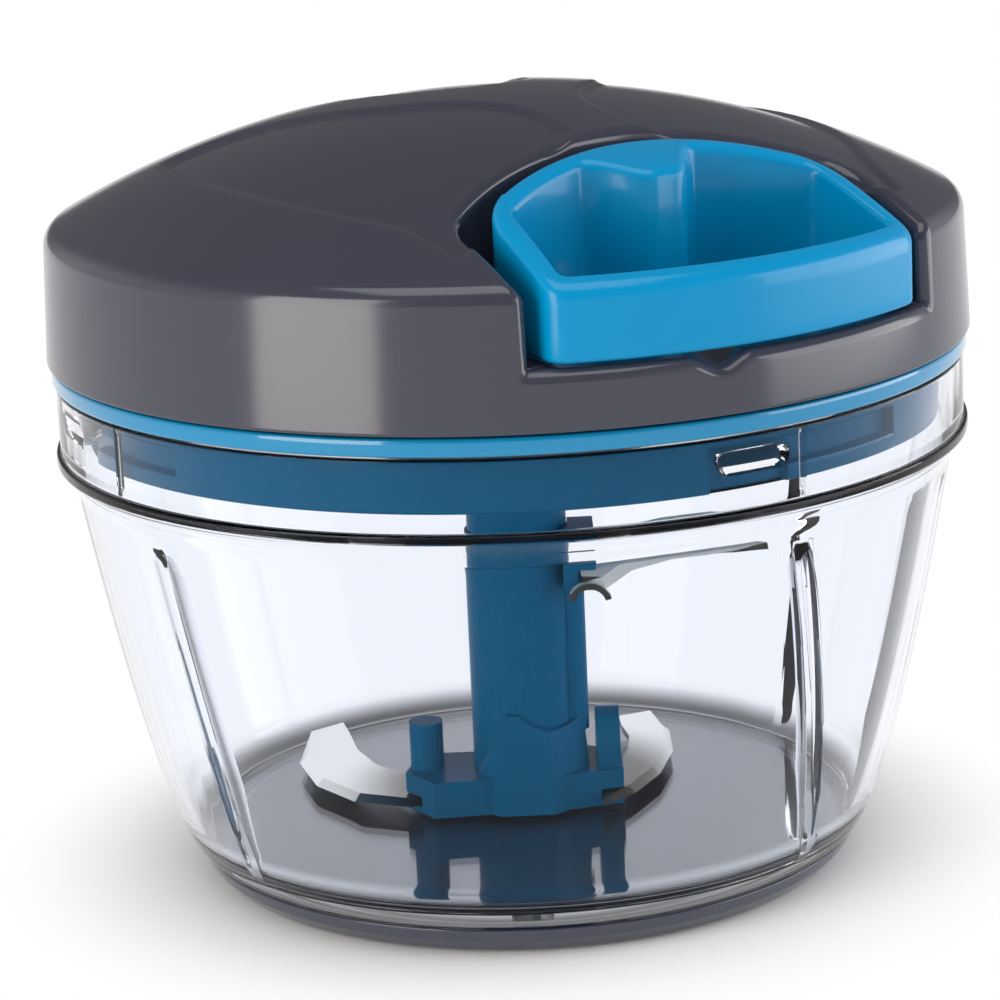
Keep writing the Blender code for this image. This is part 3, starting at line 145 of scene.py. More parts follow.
def feed(material, socket, value):
    """Puts a wire on one of the Principled shader's inputs."""
    plug(material.node_tree, material.node_tree.nodes["Principled BSDF"].inputs[socket], value)


def source(tree, kind, output, **settings):
    """One output of a node that needs no inputs, such as coordinates or a stored value."""
    return Wire(tree, None).node(kind, output, settings)


def surface(name, points, material, body, smooth):
    """One mesh from a grid of points (rows, columns, 3), closed round its columns and shaded
    smooth up to an angle in degrees. It rides on a body, or is left free where body is None."""
    rows, columns = points.shape[:2]
    index = np.arange(rows * columns).reshape(rows, columns)
    index = np.concatenate([index, index[:, :1]], axis=1)
    quads = np.stack([index[:-1, :-1], index[:-1, 1:], index[1:, 1:], index[1:, :-1]], axis=-1)
    mesh = bpy.data.meshes.new(name)
    mesh.from_pydata(points.reshape(-1, 3), [], quads.reshape(-1, 4))
    mesh.validate()
    work = bmesh.new()
    work.from_mesh(mesh)
    bmesh.ops.remove_doubles(work, verts=work.verts, dist=0.002 * MM)
    bmesh.ops.dissolve_degenerate(work, edges=work.edges, dist=0.001 * MM)
    bmesh.ops.recalc_face_normals(work, faces=work.faces)
    work.to_mesh(mesh)
    work.free()
    mesh.shade_smooth()
    mesh.set_sharp_from_angle(angle=math.radians(smooth))
    made = bpy.data.objects.new(name, mesh)
    made.data.materials.append(material)
    bpy.context.scene.collection.objects.link(made)
    if body:
        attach(made, body)
    return made


def around(radius, azimuths, height):
    """A grid of points about the Z axis: X and Y are the radius times the cosine and sine of the
    azimuth, which is in degrees, and Z is the height."""
    turn = np.radians(azimuths)
    return np.stack(np.broadcast_arrays(radius * np.cos(turn), radius * np.sin(turn), height), axis=-1)


def spun(profile, azimuths):
    """A profile of (radius, height) rows carried round the Z axis at the azimuths, in degrees."""
    return around(profile[:, :1], azimuths, profile[:, 1:])


def all_round(count):
    """Azimuths at equal steps, in degrees."""
    return np.arange(count) * 360 / count


def smoothstep(value, start, end):
    """0 below start, 1 above end, smooth between."""
    share = np.clip((value - start) / (end - start), 0, 1)
    return share * share * (3 - 2 * share)


def curved(corner, back, on, steps):
    """Points of the quadratic curve round a corner, from back to on, which its sides touch there."""
    t = np.linspace(0, 1, steps + 1)[:, None]
    return back * (1 - t) ** 2 + corner * 2 * t * (1 - t) + on * t**2


def softened(corners, radii):
    """An open line of (radius, height) corners. Each is rounded by a quadratic curve between the
    points where an arc of its own radius touches its sides."""
    corners = np.array(corners, float)
    line = [corners[:1]]
    for before, corner, after, radius in zip(corners, corners[1:], corners[2:], radii):
        if radius == 0:
            line.append([corner])
            continue
        back = (before - corner) / np.linalg.norm(before - corner)
        on = (after - corner) / np.linalg.norm(after - corner)
        reach = radius / math.tan(math.acos(np.clip(back @ on, -1, 1)) / 2)
        line.append(curved(corner, corner + back * reach, corner + on * reach, 6))
    line.append(corners[-1:])
    return np.concatenate(line)


def dense(line, longest):
    """The same line with points added so that no stretch is longer than given."""
    made = [line[:1]]
    for a, b in zip(line, line[1:]):
        parts = max(1, math.ceil(np.linalg.norm(b - a) / longest))
        made.append(a + (b - a) * np.linspace(0, 1, parts + 1)[1:, None])
    return np.concatenate(made)


POLE = 0.01 * MM
FLOOR_TOP = 6.8 * MM
FLOOR_LOW = 5.2 * MM
FLOOR_ROUND = 4.0 * MM
FOOT_RADIUS = 45.3 * MM
WALL = 2.2 * MM
WALL_LOW = 4.5 * MM
SHOULDER = 60.0 * MM
BASE_RADIUS = 47.9 * MM
MOUTH_RADIUS = 62.4 * MM
LEDGE_TOP = 63.5 * MM
LEDGE_RADIUS = 64.6 * MM
RIM_RADIUS = 64.0 * MM
RIM_INNER = 61.6 * MM
RIM_TOP = 73.2 * MM
RIM_LIP = 1.2 * MM

# Azimuths in degrees: each rib's foot and top, the lugs and the stop ribs beside them
RIBS = ((-140, -142), (-40, -52), (-15, -14), (34, 42), (92, 95))
LUG_AZIMUTHS = (-60.5, -161.5, 119.5, 18.5)
STOP_AZIMUTHS = (-53.4, -146.7, 126.6, 33.3)

RIB_FOOT = 8.8 * MM
RIB_TOP = 56.0 * MM
RIB_DEPTH = 2.4 * MM
RIB_CROWN = 5.0 * MM
RIB_TAPER = 12.7 * MM
LUG_HEIGHT = 69.4 * MM
LUG_REACH = 3.95 * MM
LUG_DEPTH = 2.1 * MM
STOP_DEPTH = 0.6 * MM


def wall_radius(height):
    """Outer radius of the bowl's wall: a power of the height share, steep above the base."""
    share = np.clip((height - WALL_LOW) / (SHOULDER - WALL_LOW), 0, 1)
    return BASE_RADIUS + (MOUTH_RADIUS - BASE_RADIUS) * share**0.66


def bowl_outside():
    """Profile from the floor's underside out, up the wall, round the ledge and to the rim's top."""
    heights = WALL_LOW + (SHOULDER - WALL_LOW) * np.linspace(0, 1, 44) ** 1.6
    wall = np.stack([wall_radius(heights), heights], axis=1)
    foot = np.array([(POLE, FLOOR_LOW), (FOOT_RADIUS, FLOOR_LOW), (FOOT_RADIUS, WALL_LOW)])
    # rows close together on the ledge's side, where the painted shade line at its edge begins and ends
    ledge = [(LEDGE_RADIUS, LEDGE_TOP - drop * MM) for drop in (1.4, 1.2, 1.0, 0.7, 0)]
    rim = [(RIM_RADIUS, RIM_TOP - 0.6 * MM), (RIM_RADIUS, RIM_TOP), (RIM_RADIUS - RIM_LIP, RIM_TOP)]
    top = softened(
        [wall[-1], *ledge, (RIM_RADIUS, LEDGE_TOP), *rim],
        [0.5 * MM, 0, 0, 0, 0.5 * MM, 0.25 * MM, 0, 0.4 * MM],
    )
    return np.concatenate([foot, wall, top[1:]])


def bowl_inside():
    """Profile from the rim's top down the inside and over the floor to the axis."""
    heights = np.linspace(SHOULDER, FLOOR_TOP + FLOOR_ROUND, 66)
    wall = np.stack([wall_radius(heights) - WALL, heights], axis=1)
    rim = softened(
        [(RIM_RADIUS - RIM_LIP, RIM_TOP), (RIM_INNER, RIM_TOP), (RIM_INNER, 62.6 * MM), wall[0]],
        [0.4 * MM, 0.8 * MM],
    )
    turn = np.radians(np.linspace(0, 90, 12))[1:]
    centre = wall[-1, 0] - FLOOR_ROUND
    bend = np.stack(
        [centre + FLOOR_ROUND * np.cos(turn), FLOOR_TOP + FLOOR_ROUND * (1 - np.sin(turn))], axis=1
    )
    pin_edge = 2.4 * MM
    floor = dense(np.array([bend[-1], (pin_edge, FLOOR_TOP)]), 4 * MM)
    return np.concatenate([dense(rim, 0.42 * MM)[:-1], wall, bend, floor[1:], [(POLE, FLOOR_TOP)]])


def off(azimuths, centre):
    """Signed turn from a centre to each azimuth, in degrees."""
    return (azimuths - centre + 180) % 360 - 180


def along_wall(azimuths, centre, radius):
    """Signed arc length from a centre's azimuth to each azimuth at a radius."""
    return off(azimuths, centre) * np.radians(1) * radius


def bowl_azimuths():
    """Even steps all round, with more beside each rib, lug and stop rib."""
    fine = [all_round(180)]
    for foot, _ in RIBS:
        fine.append(foot + np.linspace(-2.6, 2.6, 25))
    for centre in LUG_AZIMUTHS:
        fine.append(centre + np.linspace(-5.2, -3.4, 8))
        fine.append(centre + np.linspace(3.4, 5.2, 8))
    for centre in STOP_AZIMUTHS:
        fine.append(centre + np.linspace(-0.7, 0.7, 9))
    return np.unique(np.round(np.concatenate(fine) % 360, 3))


def rib_line(height, foot, top):
    """Azimuth of a rib's middle at each height: straight from its foot to its top."""
    return foot + (top - foot) * np.clip((height - RIB_FOOT) / (RIB_TOP - RIB_FOOT), 0, 1)


def leaned(azimuths, height):
    """The azimuths of a row, drawn aside near each rib by the rib's lean at that height."""
    shift = np.zeros((len(height), len(azimuths)))
    fade = 1 - smoothstep(height, 57 * MM, 61 * MM)
    for foot, top in RIBS:
        near = 1 - smoothstep(np.abs(off(azimuths, foot)), 3, 25)
        shift = shift + (rib_line(height, foot, top) - foot) * fade * near[None, :]
    return azimuths[None, :] + shift


def rib_depth(across, height):
    """How far a rib stands in: a bar with sloping flanks, rounded off above and tapered below."""
    bar = 1 - smoothstep(np.abs(across), 0.8 * MM, 1.6 * MM)
    crown = np.sqrt(np.clip(1 - np.clip((height - RIB_TOP + RIB_CROWN) / RIB_CROWN, 0, 1) ** 2, 0, 1))
    crown = np.where(height > SHOULDER, 0, crown)
    taper = 0.4 + 0.6 * np.clip((height - RIB_FOOT) / RIB_TAPER, 0, 1)
    return RIB_DEPTH * bar * crown * taper * smoothstep(height, FLOOR_TOP, RIB_FOOT)


def lug_reach(azimuth, height, radius, centre):
    """Distance from the middle line of a lug, which is a round-ended bar along the rim."""
    along = np.maximum(np.abs(along_wall(azimuth, centre, radius)) - LUG_REACH, 0)
    return np.hypot(along, height - LUG_HEIGHT)


def band(value, start, end, soft):
    """1 between two limits and 0 outside them, with a soft edge outside each."""
    return smoothstep(value, start - soft, start) * (1 - smoothstep(value, end, end + soft))


# Painted shade lines along the ribs' edges: foot and top azimuth, limits of the arc length from its
# middle line in mm, and a strength
RIB_SHADE_LINES = (
    (-140, -142, 1.15, 1.35, 0.9),
    (-140, -142, -1.3, -1.2, 0.6),
    (-40, -52, -1.35, -1.15, 0.9),
    (-15, -14, -1.5, -0.2, 1.0),
    (34, 42, -1.3, -1.15, 0.8),
)


def bowl_painted_shade(points):
    """Painted shade in the clear plastic at each point, dark lines that stand for the darkness seen
    through its edges: most on the ledge's edge, on the rim's upper corner, round the foot and on rib
    flanks, less on lugs and stop ribs, 0 on the plain wall."""
    x, y, height = points.T
    radius = np.hypot(x, y)
    azimuth = np.degrees(np.arctan2(y, x))
    left = 1 - smoothstep((azimuth + 190) % 360, 10, 70)
    edge = band(height, LEDGE_TOP - (1.1 - 0.5 * left) * MM, LEDGE_TOP - 0.3 * MM, 0.15 * MM)
    corner = smoothstep(height, RIM_TOP - 0.45 * MM, RIM_TOP - 0.25 * MM)
    foot = 0.85 * (1 - smoothstep(height, FLOOR_LOW, 10 * MM))
    ink = edge * (radius > LEDGE_RADIUS - 0.3 * MM)
    ink = np.maximum(ink, foot * (radius > FOOT_RADIUS + 0.5 * MM))
    ink = np.maximum(ink, corner * (radius > RIM_RADIUS - 0.6 * MM))
    inner = radius < np.where(height > 61 * MM, RIM_INNER + 0.2 * MM, wall_radius(height) - 0.8 * WALL)
    for foot, top, start, end, strength in RIB_SHADE_LINES:
        across = along_wall(azimuth, rib_line(height, foot, top), radius)
        line = band(across, start * MM, end * MM, 0.12 * MM) * band(height, 10 * MM, 54.6 * MM, 1.0 * MM)
        ink = np.maximum(ink, np.where(inner & (height < SHOULDER), strength * line, 0))
    in_rim = inner & (height > 63 * MM)
    for centre in LUG_AZIMUTHS:
        reach = lug_reach(azimuth, height, radius, centre)
        shade = 0.7 * (1 - smoothstep(reach, 1.5 * MM, 1.8 * MM))
        ink = np.maximum(ink, np.where(in_rim, shade, 0))
    for centre, strength in zip(STOP_AZIMUTHS, (0.3, 1.0, 0.3, 0.3)):
        line = strength * (np.abs(along_wall(azimuth, centre, radius)) < 0.4 * MM)
        ink = np.maximum(ink, np.where(in_rim & (height < RIM_TOP - 1.0 * MM), line, 0))
    return ink


def make_bowl(material):
    """Two skins joined at the rim; the inner one moves inwards at the ribs, lugs and stop ribs."""
    azimuths = bowl_azimuths()
    outside = spun(bowl_outside(), azimuths)
    profile = bowl_inside()
    height = profile[:, 1][:, None]
    azimuth = leaned(azimuths, height)
    radius = np.broadcast_to(profile[:, :1], azimuth.shape)
    inward = np.zeros_like(azimuth)
    for foot, top in RIBS:
        across = along_wall(azimuth, rib_line(height, foot, top), radius)
        inward = np.maximum(inward, rib_depth(across, height))
    in_rim = (height > 63 * MM) & (radius < RIM_INNER + 0.2 * MM)
    for centre in LUG_AZIMUTHS:
        reach = lug_reach(azimuth, height, radius, centre)
        lug = LUG_DEPTH * (1 - smoothstep(reach, 1.0 * MM, 1.35 * MM))
        inward = np.maximum(inward, np.where(in_rim, lug, 0))
    for centre in STOP_AZIMUTHS:
        across = np.abs(along_wall(azimuth, centre, radius))
        span = band(height, 64 * MM, 71.8 * MM, 0.6 * MM)
        inward = np.maximum(inward, STOP_DEPTH * (1 - smoothstep(across, 0.25 * MM, 0.5 * MM)) * span)
    inside = around(radius - inward, azimuth, height)
    made = surface("clear_bowl", np.concatenate([outside, inside]), material, "bowl", smooth=50)
    # painted shade: a stored value that darkens the clear plastic at the ledge's edge, rim corner, foot,
    # rib flanks, lugs and stop ribs
    mark(made, "ink", bowl_painted_shade)
    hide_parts("bowl")


def mark(thing, name, rule):
    """Stores a value at every point of a mesh, by a rule of the points' coordinates."""
    mesh = thing.data
    points = np.empty(len(mesh.vertices) * 3)
    mesh.vertices.foreach_get("co", points)
    values = mesh.attributes.new(name, "FLOAT", "POINT")
    values.data.foreach_set("value", rule(points.reshape(-1, 3)).astype(float))


pale = linear(247, 249, 254)
clear = finish(
    "clear_plastic", pale, 0.0, Transmission_Weight=1.0, IOR=1.45, Specular_Tint=(0.14, 0.14, 0.15)
)
# painted shade: the stored value turns the clear plastic's colour towards near-black along its edges, ribs
# and lugs
ink = source(clear.node_tree, "ShaderNodeAttribute", "Fac", attribute_name="ink")
feed(clear, "Base Color", ink.mix(pale, linear(8, 8, 10)))
make_bowl(clear)

# ANTI-SLIP BASE
# Dark glossy moulded dish under the bowl, whose floor lies on it. Its outer side flares up to
# the bowl's wall, and a pale ring of painted highlight lies near the edge of its floor.

DISH_RADIUS = 45.0 * MM
DISH_EDGE = 4.2 * MM
DISH_FLOOR = 4.9 * MM


def make_base(material):
    """A spun dish: flat underside, rounded flare, lip round the bowl's foot, flat floor."""
    line = softened(
        [
            (POLE, 0),
            (43.4 * MM, 0),
            (45.6 * MM, 0.7 * MM),
            (47.2 * MM, 2.4 * MM),
            (BASE_RADIUS, DISH_EDGE),
            (DISH_RADIUS, DISH_EDGE),
            (DISH_RADIUS, DISH_FLOOR),
            (POLE, DISH_FLOOR),
        ],
        [0.5 * MM, 0.8 * MM, 1.0 * MM, 0.3 * MM, 0, 0.25 * MM],
    )
    points = spun(dense(line, 4 * MM), all_round(240))
    made = surface("slate_base", points, material, "bowl", smooth=40)
    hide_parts("anti_slip_base")


def axis_reach(tree):
    """Distance from the Z axis as a wire: the length of the object coordinates with Z made 0."""
    place = source(tree, "ShaderNodeTexCoord", "Object")
    flat = place.node("ShaderNodeVectorMath", settings={"operation": "MULTIPLY"}, Vector=place)
    flat.socket.node.inputs[1].default_value = (1, 1, 0)
    return flat.node("ShaderNodeVectorMath", "Value", {"operation": "LENGTH"}, Vector=flat)


dark = linear(62, 65, 80)
slate = finish("slate_gloss", dark, 0.15, Coat_Weight=0.2, Coat_Roughness=0.03)
reach = axis_reach(slate.node_tree)
# painted highlight: a thin pale ring on the dark dish's floor, near its edge
ring = reach.step(42.3 * MM, 42.6 * MM) * (1.0 - reach.step(42.9 * MM, 43.2 * MM))
feed(slate, "Base Color", ring.mix(dark, linear(165, 170, 180)))
make_base(slate)

# LID BASE
# Blue moulding screwed under the cover. Its bead, painted a lighter blue than the skirt for the light
# on it, shows as a line between cover and rim, and its skirt, with four L-shaped grooves for the lugs,
# goes down inside the rim.

BORE_RADIUS = 8.5 * MM
PLATE_LOW = 69.0 * MM
PLATE_TOP = 71.0 * MM
RING_INNER = 58.0 * MM
SKIRT_RADIUS = 60.6 * MM
SKIRT_LOW = 65.3 * MM
SEAL_RADIUS = 63.3 * MM
SEAL_TOP = 75.0 * MM
BEAD_RADIUS = 64.5 * MM
BEAD_LOW = 73.5 * MM
BEAD_TOP = 76.0 * MM

# Bayonet grooves: turn from entry to lock and half the entry's width, in degrees
LOCK_ANGLE = 20
GROOVE_HALF = 5.45

GROOVE_LOW = 67.8 * MM
GROOVE_TOP = 71.0 * MM
GROOVE_DEPTH = 1.4 * MM


def make_lid_base(material):
    """A spun ring whose outer skirt moves inwards along the bayonet grooves."""
    outside = softened(
        [
            (RING_INNER, PLATE_LOW),
            (RING_INNER, SKIRT_LOW),
            (SKIRT_RADIUS, SKIRT_LOW),
            (SKIRT_RADIUS, SEAL_TOP),
            (SEAL_RADIUS, SEAL_TOP),
            (SEAL_RADIUS, BEAD_LOW),
            (BEAD_RADIUS, BEAD_LOW),
            (BEAD_RADIUS, BEAD_TOP),
            (RING_INNER, BEAD_TOP),
            (RING_INNER, PLATE_TOP),
        ],
        [0.3 * MM, 0.5 * MM, 0, 0, 0.3 * MM, 0.6 * MM, 0.6 * MM, 0],
    )
    bore = np.array([(BORE_RADIUS, PLATE_LOW), (BORE_RADIUS, PLATE_TOP)])
    profile = np.concatenate([bore[:1], dense(outside, 0.35 * MM), bore[::-1]])
    fine = [all_round(300)]
    for centre in LUG_AZIMUTHS:
        for edge in (centre - GROOVE_HALF, centre + GROOVE_HALF, centre + GROOVE_HALF + LOCK_ANGLE):
            fine.append(edge + np.linspace(-0.6, 0.6, 9))
    azimuths = np.unique(np.round(np.concatenate(fine) % 360, 3))
    radius = np.repeat(profile[:, :1], len(azimuths), axis=1)
    height = profile[:, 1][:, None]
    skirt = (radius > SKIRT_RADIUS - 0.6 * MM) & (radius < SKIRT_RADIUS + 0.4 * MM)
    skirt = skirt & (height < SEAL_TOP - 1.0 * MM)
    inward = np.zeros_like(radius)
    start = 0.2 - GROOVE_HALF
    for centre in LUG_AZIMUTHS:
        turn = off(azimuths, centre)[None, :]
        run = band(turn, start, LOCK_ANGLE - start, 0.4) * band(height, GROOVE_LOW, GROOVE_TOP, 0.35 * MM)
        entry = band(turn, start, -start, 0.4) * (1 - smoothstep(height, 69.5 * MM, 70 * MM))
        inward = np.maximum(inward, np.where(skirt, GROOVE_DEPTH * np.maximum(run, entry), 0))
    points = around(radius - inward, azimuths, height)
    made = surface("lid_base_blue", points, material, "lid", smooth=40)
    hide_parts("lid_base")


skirt_blue = linear(0, 92, 130)
light_blue = finish(
    "light_blue_plastic", skirt_blue, 0.25, Specular_IOR_Level=0.12, Coat_Roughness=0.06
)
place = source(light_blue.node_tree, "ShaderNodeTexCoord", "Object")
bead_painted_light_and_coat = place.node("ShaderNodeSeparateXYZ", "Z", Vector=place).step(73.2 * MM, 73.7 * MM)
# painted light: the bead, lit on top of the rim, gets a lighter copy of the skirt's blue; the skirt keeps
# the darker blue of its shaded place inside the rim
feed(light_blue, "Base Color", bead_painted_light_and_coat.mix(skirt_blue, linear(0, 126, 174)))
feed(light_blue, "Coat Weight", bead_painted_light_and_coat)
make_lid_base(light_blue)

# LID COVER
# Charcoal domed cover with a satin face. The pull handle's recess is cut in from the side
# with a softened edge, and three leaf-shaped fields are sunk a little in the dome.

COVER_LOW = 76.3 * MM
COVER_RADIUS = 65.0 * MM
COVER_DRAFT = 0.7 * MM
DOME_TOP = 111.0 * MM
DOME_RADIUS = 132.0 * MM
DOME_ROWS = 240
SHOULDER_ROUND = 3.0 * MM
LEAF_DEPTH = 0.7 * MM
HANDLE_AZIMUTH = -59
RECESS_FLOOR = 84.3 * MM
RECESS_HALF = 31.3 * MM
RECESS_ARC = 52.8 * MM
RECESS_CORNER = 6.0 * MM
RECESS_MIDDLE = 50 * MM
RECESS_LIP = 1.8 * MM
BACK_CENTRE = 82.0 * MM

# Finger notch in the recess's lower edge: turn of its middle from the handle's and half its
# width, in degrees
NOTCH_TURN = -6.5
NOTCH_HALF = 4.2
NOTCH_DEPTH = 1.7 * MM

# Outlines of the leaf-shaped fields in mm, with +X along the handle's pull
SIDE_LEAF = (
    (29.0, -7.5), (22.0, -5.2), (14.0, -5.6), (6.0, -10.0), (-3.0, -18.5), (-13.0, -24.5),
    (-21.0, -31.0), (-24.0, -40.0), (-13.0, -44.4), (0.0, -45.6), (13.0, -44.6), (26.0, -41.2),
    (37.0, -36.6), (46.0, -34.6), (44.0, -31.0), (37.0, -25.0),
)
BACK_LEAF = (
    (-4.0, 0.0), (-8.0, -8.5), (-20.0, -14.0), (-34.0, -17.0), (-46.0, -14.0), (-53.0, 0.0),
    (-46.0, 14.0), (-34.0, 17.0), (-20.0, 14.0), (-8.0, 8.5),
)


def to_world(points):
    """Turns points of the handle's frame, +X along the pull, to the chopper's."""
    turn = math.radians(HANDLE_AZIMUTH)
    x = points[..., 0] * math.cos(turn) - points[..., 1] * math.sin(turn)
    y = points[..., 0] * math.sin(turn) + points[..., 1] * math.cos(turn)
    return np.stack([x, y, points[..., 2]], axis=-1)


def recess_plan(corner_count, back_count):
    """The recess in plan: from the end of one straight side, over an arc at its corner, the back
    arc about BACK_CENTRE and the other corner, to the end of the other side."""
    inner = RECESS_ARC - RECESS_CORNER
    corner_y = RECESS_HALF - RECESS_CORNER
    lean = math.asin(corner_y / inner)
    corner_x = BACK_CENTRE - inner * math.cos(lean)
    turn = np.linspace(math.pi / 2, math.pi - lean, corner_count)[:-1]
    corner = RECESS_CORNER * np.stack([np.cos(turn), np.sin(turn)], axis=1)
    corner = corner + np.array([corner_x, corner_y])
    turn = np.linspace(math.pi - lean, math.pi + lean, back_count)
    back = np.array([BACK_CENTRE, 0]) + RECESS_ARC * np.stack([np.cos(turn), np.sin(turn)], axis=1)
    return np.concatenate([corner, back, corner[::-1] * np.array([1, -1])])


def leaf_curve(points):
    """A closed curve through a leaf's points: a cubic between each two, whose slope at a point is
    half the way from the point before it to the point after it."""
    knots = np.array(points) * MM
    before, after, later = np.roll(knots, 1, 0), np.roll(knots, -1, 0), np.roll(knots, -2, 0)
    t = np.linspace(0, 1, 12, endpoint=False)[None, :, None]
    p0, p1, p2, p3 = before[:, None], knots[:, None], after[:, None], later[:, None]
    curve = p1 * 2 + (p2 - p0) * t + (p0 * 2 - p1 * 5 + p2 * 4 - p3) * t**2
    curve = curve + (p1 * 3 - p0 - p2 * 3 + p3) * t**3
    return (curve / 2).reshape(-1, 2)


def depth_inside(x, y, curve):
    """Distance from each point to a closed curve's nearest stretch, positive where a line from the
    point along +X crosses the curve an odd number of times."""
    points = np.stack([x.ravel(), y.ravel()], axis=1)
    best = np.full(len(points), 1.0)
    crossings = np.zeros(len(points), int)
    for start, along in zip(curve, np.roll(curve, -1, 0) - curve):
        away = points - start
        share = np.clip(away @ along / (along**2).sum(), 0, 1)
        best = np.minimum(best, np.hypot(*(away - share[:, None] * along).T))
        spans = (start[1] > points[:, 1]) != (start[1] + along[1] > points[:, 1])
        if abs(along[1]) > 1e-12:
            crossings += spans & (away[:, 0] < along[0] * away[:, 1] / along[1])
    return np.where(crossings % 2 == 1, best, -best).reshape(x.shape)


def leaf_share(x, y):
    """1 inside the three leaf-shaped fields and 0 outside, with a soft step between."""
    sunk = np.zeros_like(x)
    side = leaf_curve(SIDE_LEAF)
    for curve in (side, side * np.array([1, -1]), leaf_curve(BACK_LEAF)):
        sunk = np.maximum(sunk, smoothstep(depth_inside(x, y, curve), -0.8 * MM, 0.9 * MM))
    return sunk


def shoulder(count):
    """Rows of (radius, height) round the shoulder, an arc that touches the dome's sphere and the
    side, and the rows down the side and round its lower edge."""
    dome_centre = DOME_TOP - DOME_RADIUS
    bend_radius = COVER_RADIUS - COVER_DRAFT - SHOULDER_ROUND
    bend_rise = math.sqrt((DOME_RADIUS - SHOULDER_ROUND) ** 2 - bend_radius**2)
    turn = np.linspace(math.atan2(bend_rise, bend_radius), 0, count)
    bend = SHOULDER_ROUND * np.stack([np.cos(turn), np.sin(turn)], axis=1)
    bend = bend + np.array([bend_radius, dome_centre + bend_rise])
    low = softened(
        [bend[-1], (COVER_RADIUS, COVER_LOW), (COVER_RADIUS - 2 * MM, COVER_LOW)], [0.4 * MM]
    )
    return bend, dense(low, 1.5 * MM)[1:]


def cover_profile():
    """Run, radius and height along the cover's outside: dome, shoulder, side and lower edge. The
    run is the length of the line from the dome's top."""
    bend, side = shoulder(14)
    turn = np.linspace(0, math.asin(bend[0, 0] / DOME_RADIUS), DOME_ROWS)
    height = DOME_TOP - DOME_RADIUS + DOME_RADIUS * np.cos(turn)
    line = np.concatenate([np.stack([DOME_RADIUS * np.sin(turn), height], axis=1), bend[1:], side])
    run = np.concatenate([[0], np.cumsum(np.hypot(*np.diff(line, axis=0).T))])
    return run, line[:, 0], line[:, 1]


def opening_edge(run, radius, height):
    """The recess's edge on the cover spread out flat, where a point's distance from the centre is
    its run: the lower edge with the finger notch, then the sides, the corners and the back."""
    floor_run = np.interp(-RECESS_FLOOR, -height, run)
    half_turn = math.asin(RECESS_HALF / np.interp(floor_run, run, radius))
    turn = np.linspace(-half_turn, half_turn, 110)
    notch = np.clip(np.abs(np.degrees(turn) - NOTCH_TURN) / NOTCH_HALF, 0, 1)
    dip = NOTCH_DEPTH * (1 + np.cos(np.pi * notch)) / 2
    lower = np.interp(dip - RECESS_FLOOR, -height, run)
    plan = recess_plan(26, 220)
    plan_run = np.interp(np.hypot(*plan.T), radius[:DOME_ROWS], run[:DOME_ROWS])
    sides = np.linspace(floor_run, plan_run[0], 70)[1:-1]
    side_turn = np.arcsin(RECESS_HALF / np.interp(sides, run, radius))
    runs = np.concatenate([lower, sides, plan_run, sides[::-1]])
    turns = np.concatenate([turn, side_turn, np.arctan2(plan[:, 1], plan[:, 0]), -side_turn[::-1]])
    return np.stack([runs * np.cos(turns), runs * np.sin(turns)], axis=1)


def edge_distance(points, edge):
    """Distance from points of the spread-out cover to the recess's edge."""
    best = np.full(points.shape[:-1], 1.0)
    for start, end in zip(edge, np.roll(edge, -1, 0)):
        along = end - start
        share = np.clip(((points - start) @ along) / (along @ along), 0, 1)
        best = np.minimum(best, np.linalg.norm(points - start - share[..., None] * along, axis=-1))
    return best


def cover_rays(edge, run, rows):
    """Points along rays from inside the recess through its edge and out to the cover's lower
    edge, closer together beside the recess, round the shoulder and at the lower edge."""
    ray = edge - np.array([RECESS_MIDDLE, 0])
    ray = ray / np.linalg.norm(ray, axis=1)[:, None]
    dot = (edge * ray).sum(1)
    reach = -dot + np.sqrt(dot**2 - (edge**2).sum(1) + run[-1] ** 2)
    share = np.linspace(0, 1, 900)
    shoulder_run = run[DOME_ROWS + 5]
    low_run = run[-1] - 2.4 * MM
    points = []
    for start, direction, length in zip(edge, ray, reach):
        way = np.linalg.norm(start + direction * (length * share)[:, None], axis=1)
        close = 5 * np.exp(-length * share / (1.2 * MM))
        close = close + 4 * np.exp(-(((way - shoulder_run) / (2.5 * MM)) ** 2))
        close = close + 4 * np.exp(-(((way - low_run) / (1.2 * MM)) ** 2))
        weight = np.concatenate([[0], np.cumsum((1 + close)[:-1])])
        at = np.interp(np.linspace(0, 1, rows), weight / weight[-1], share)
        points.append(start + direction * (length * at)[:, None])
    return np.stack(points, axis=1)


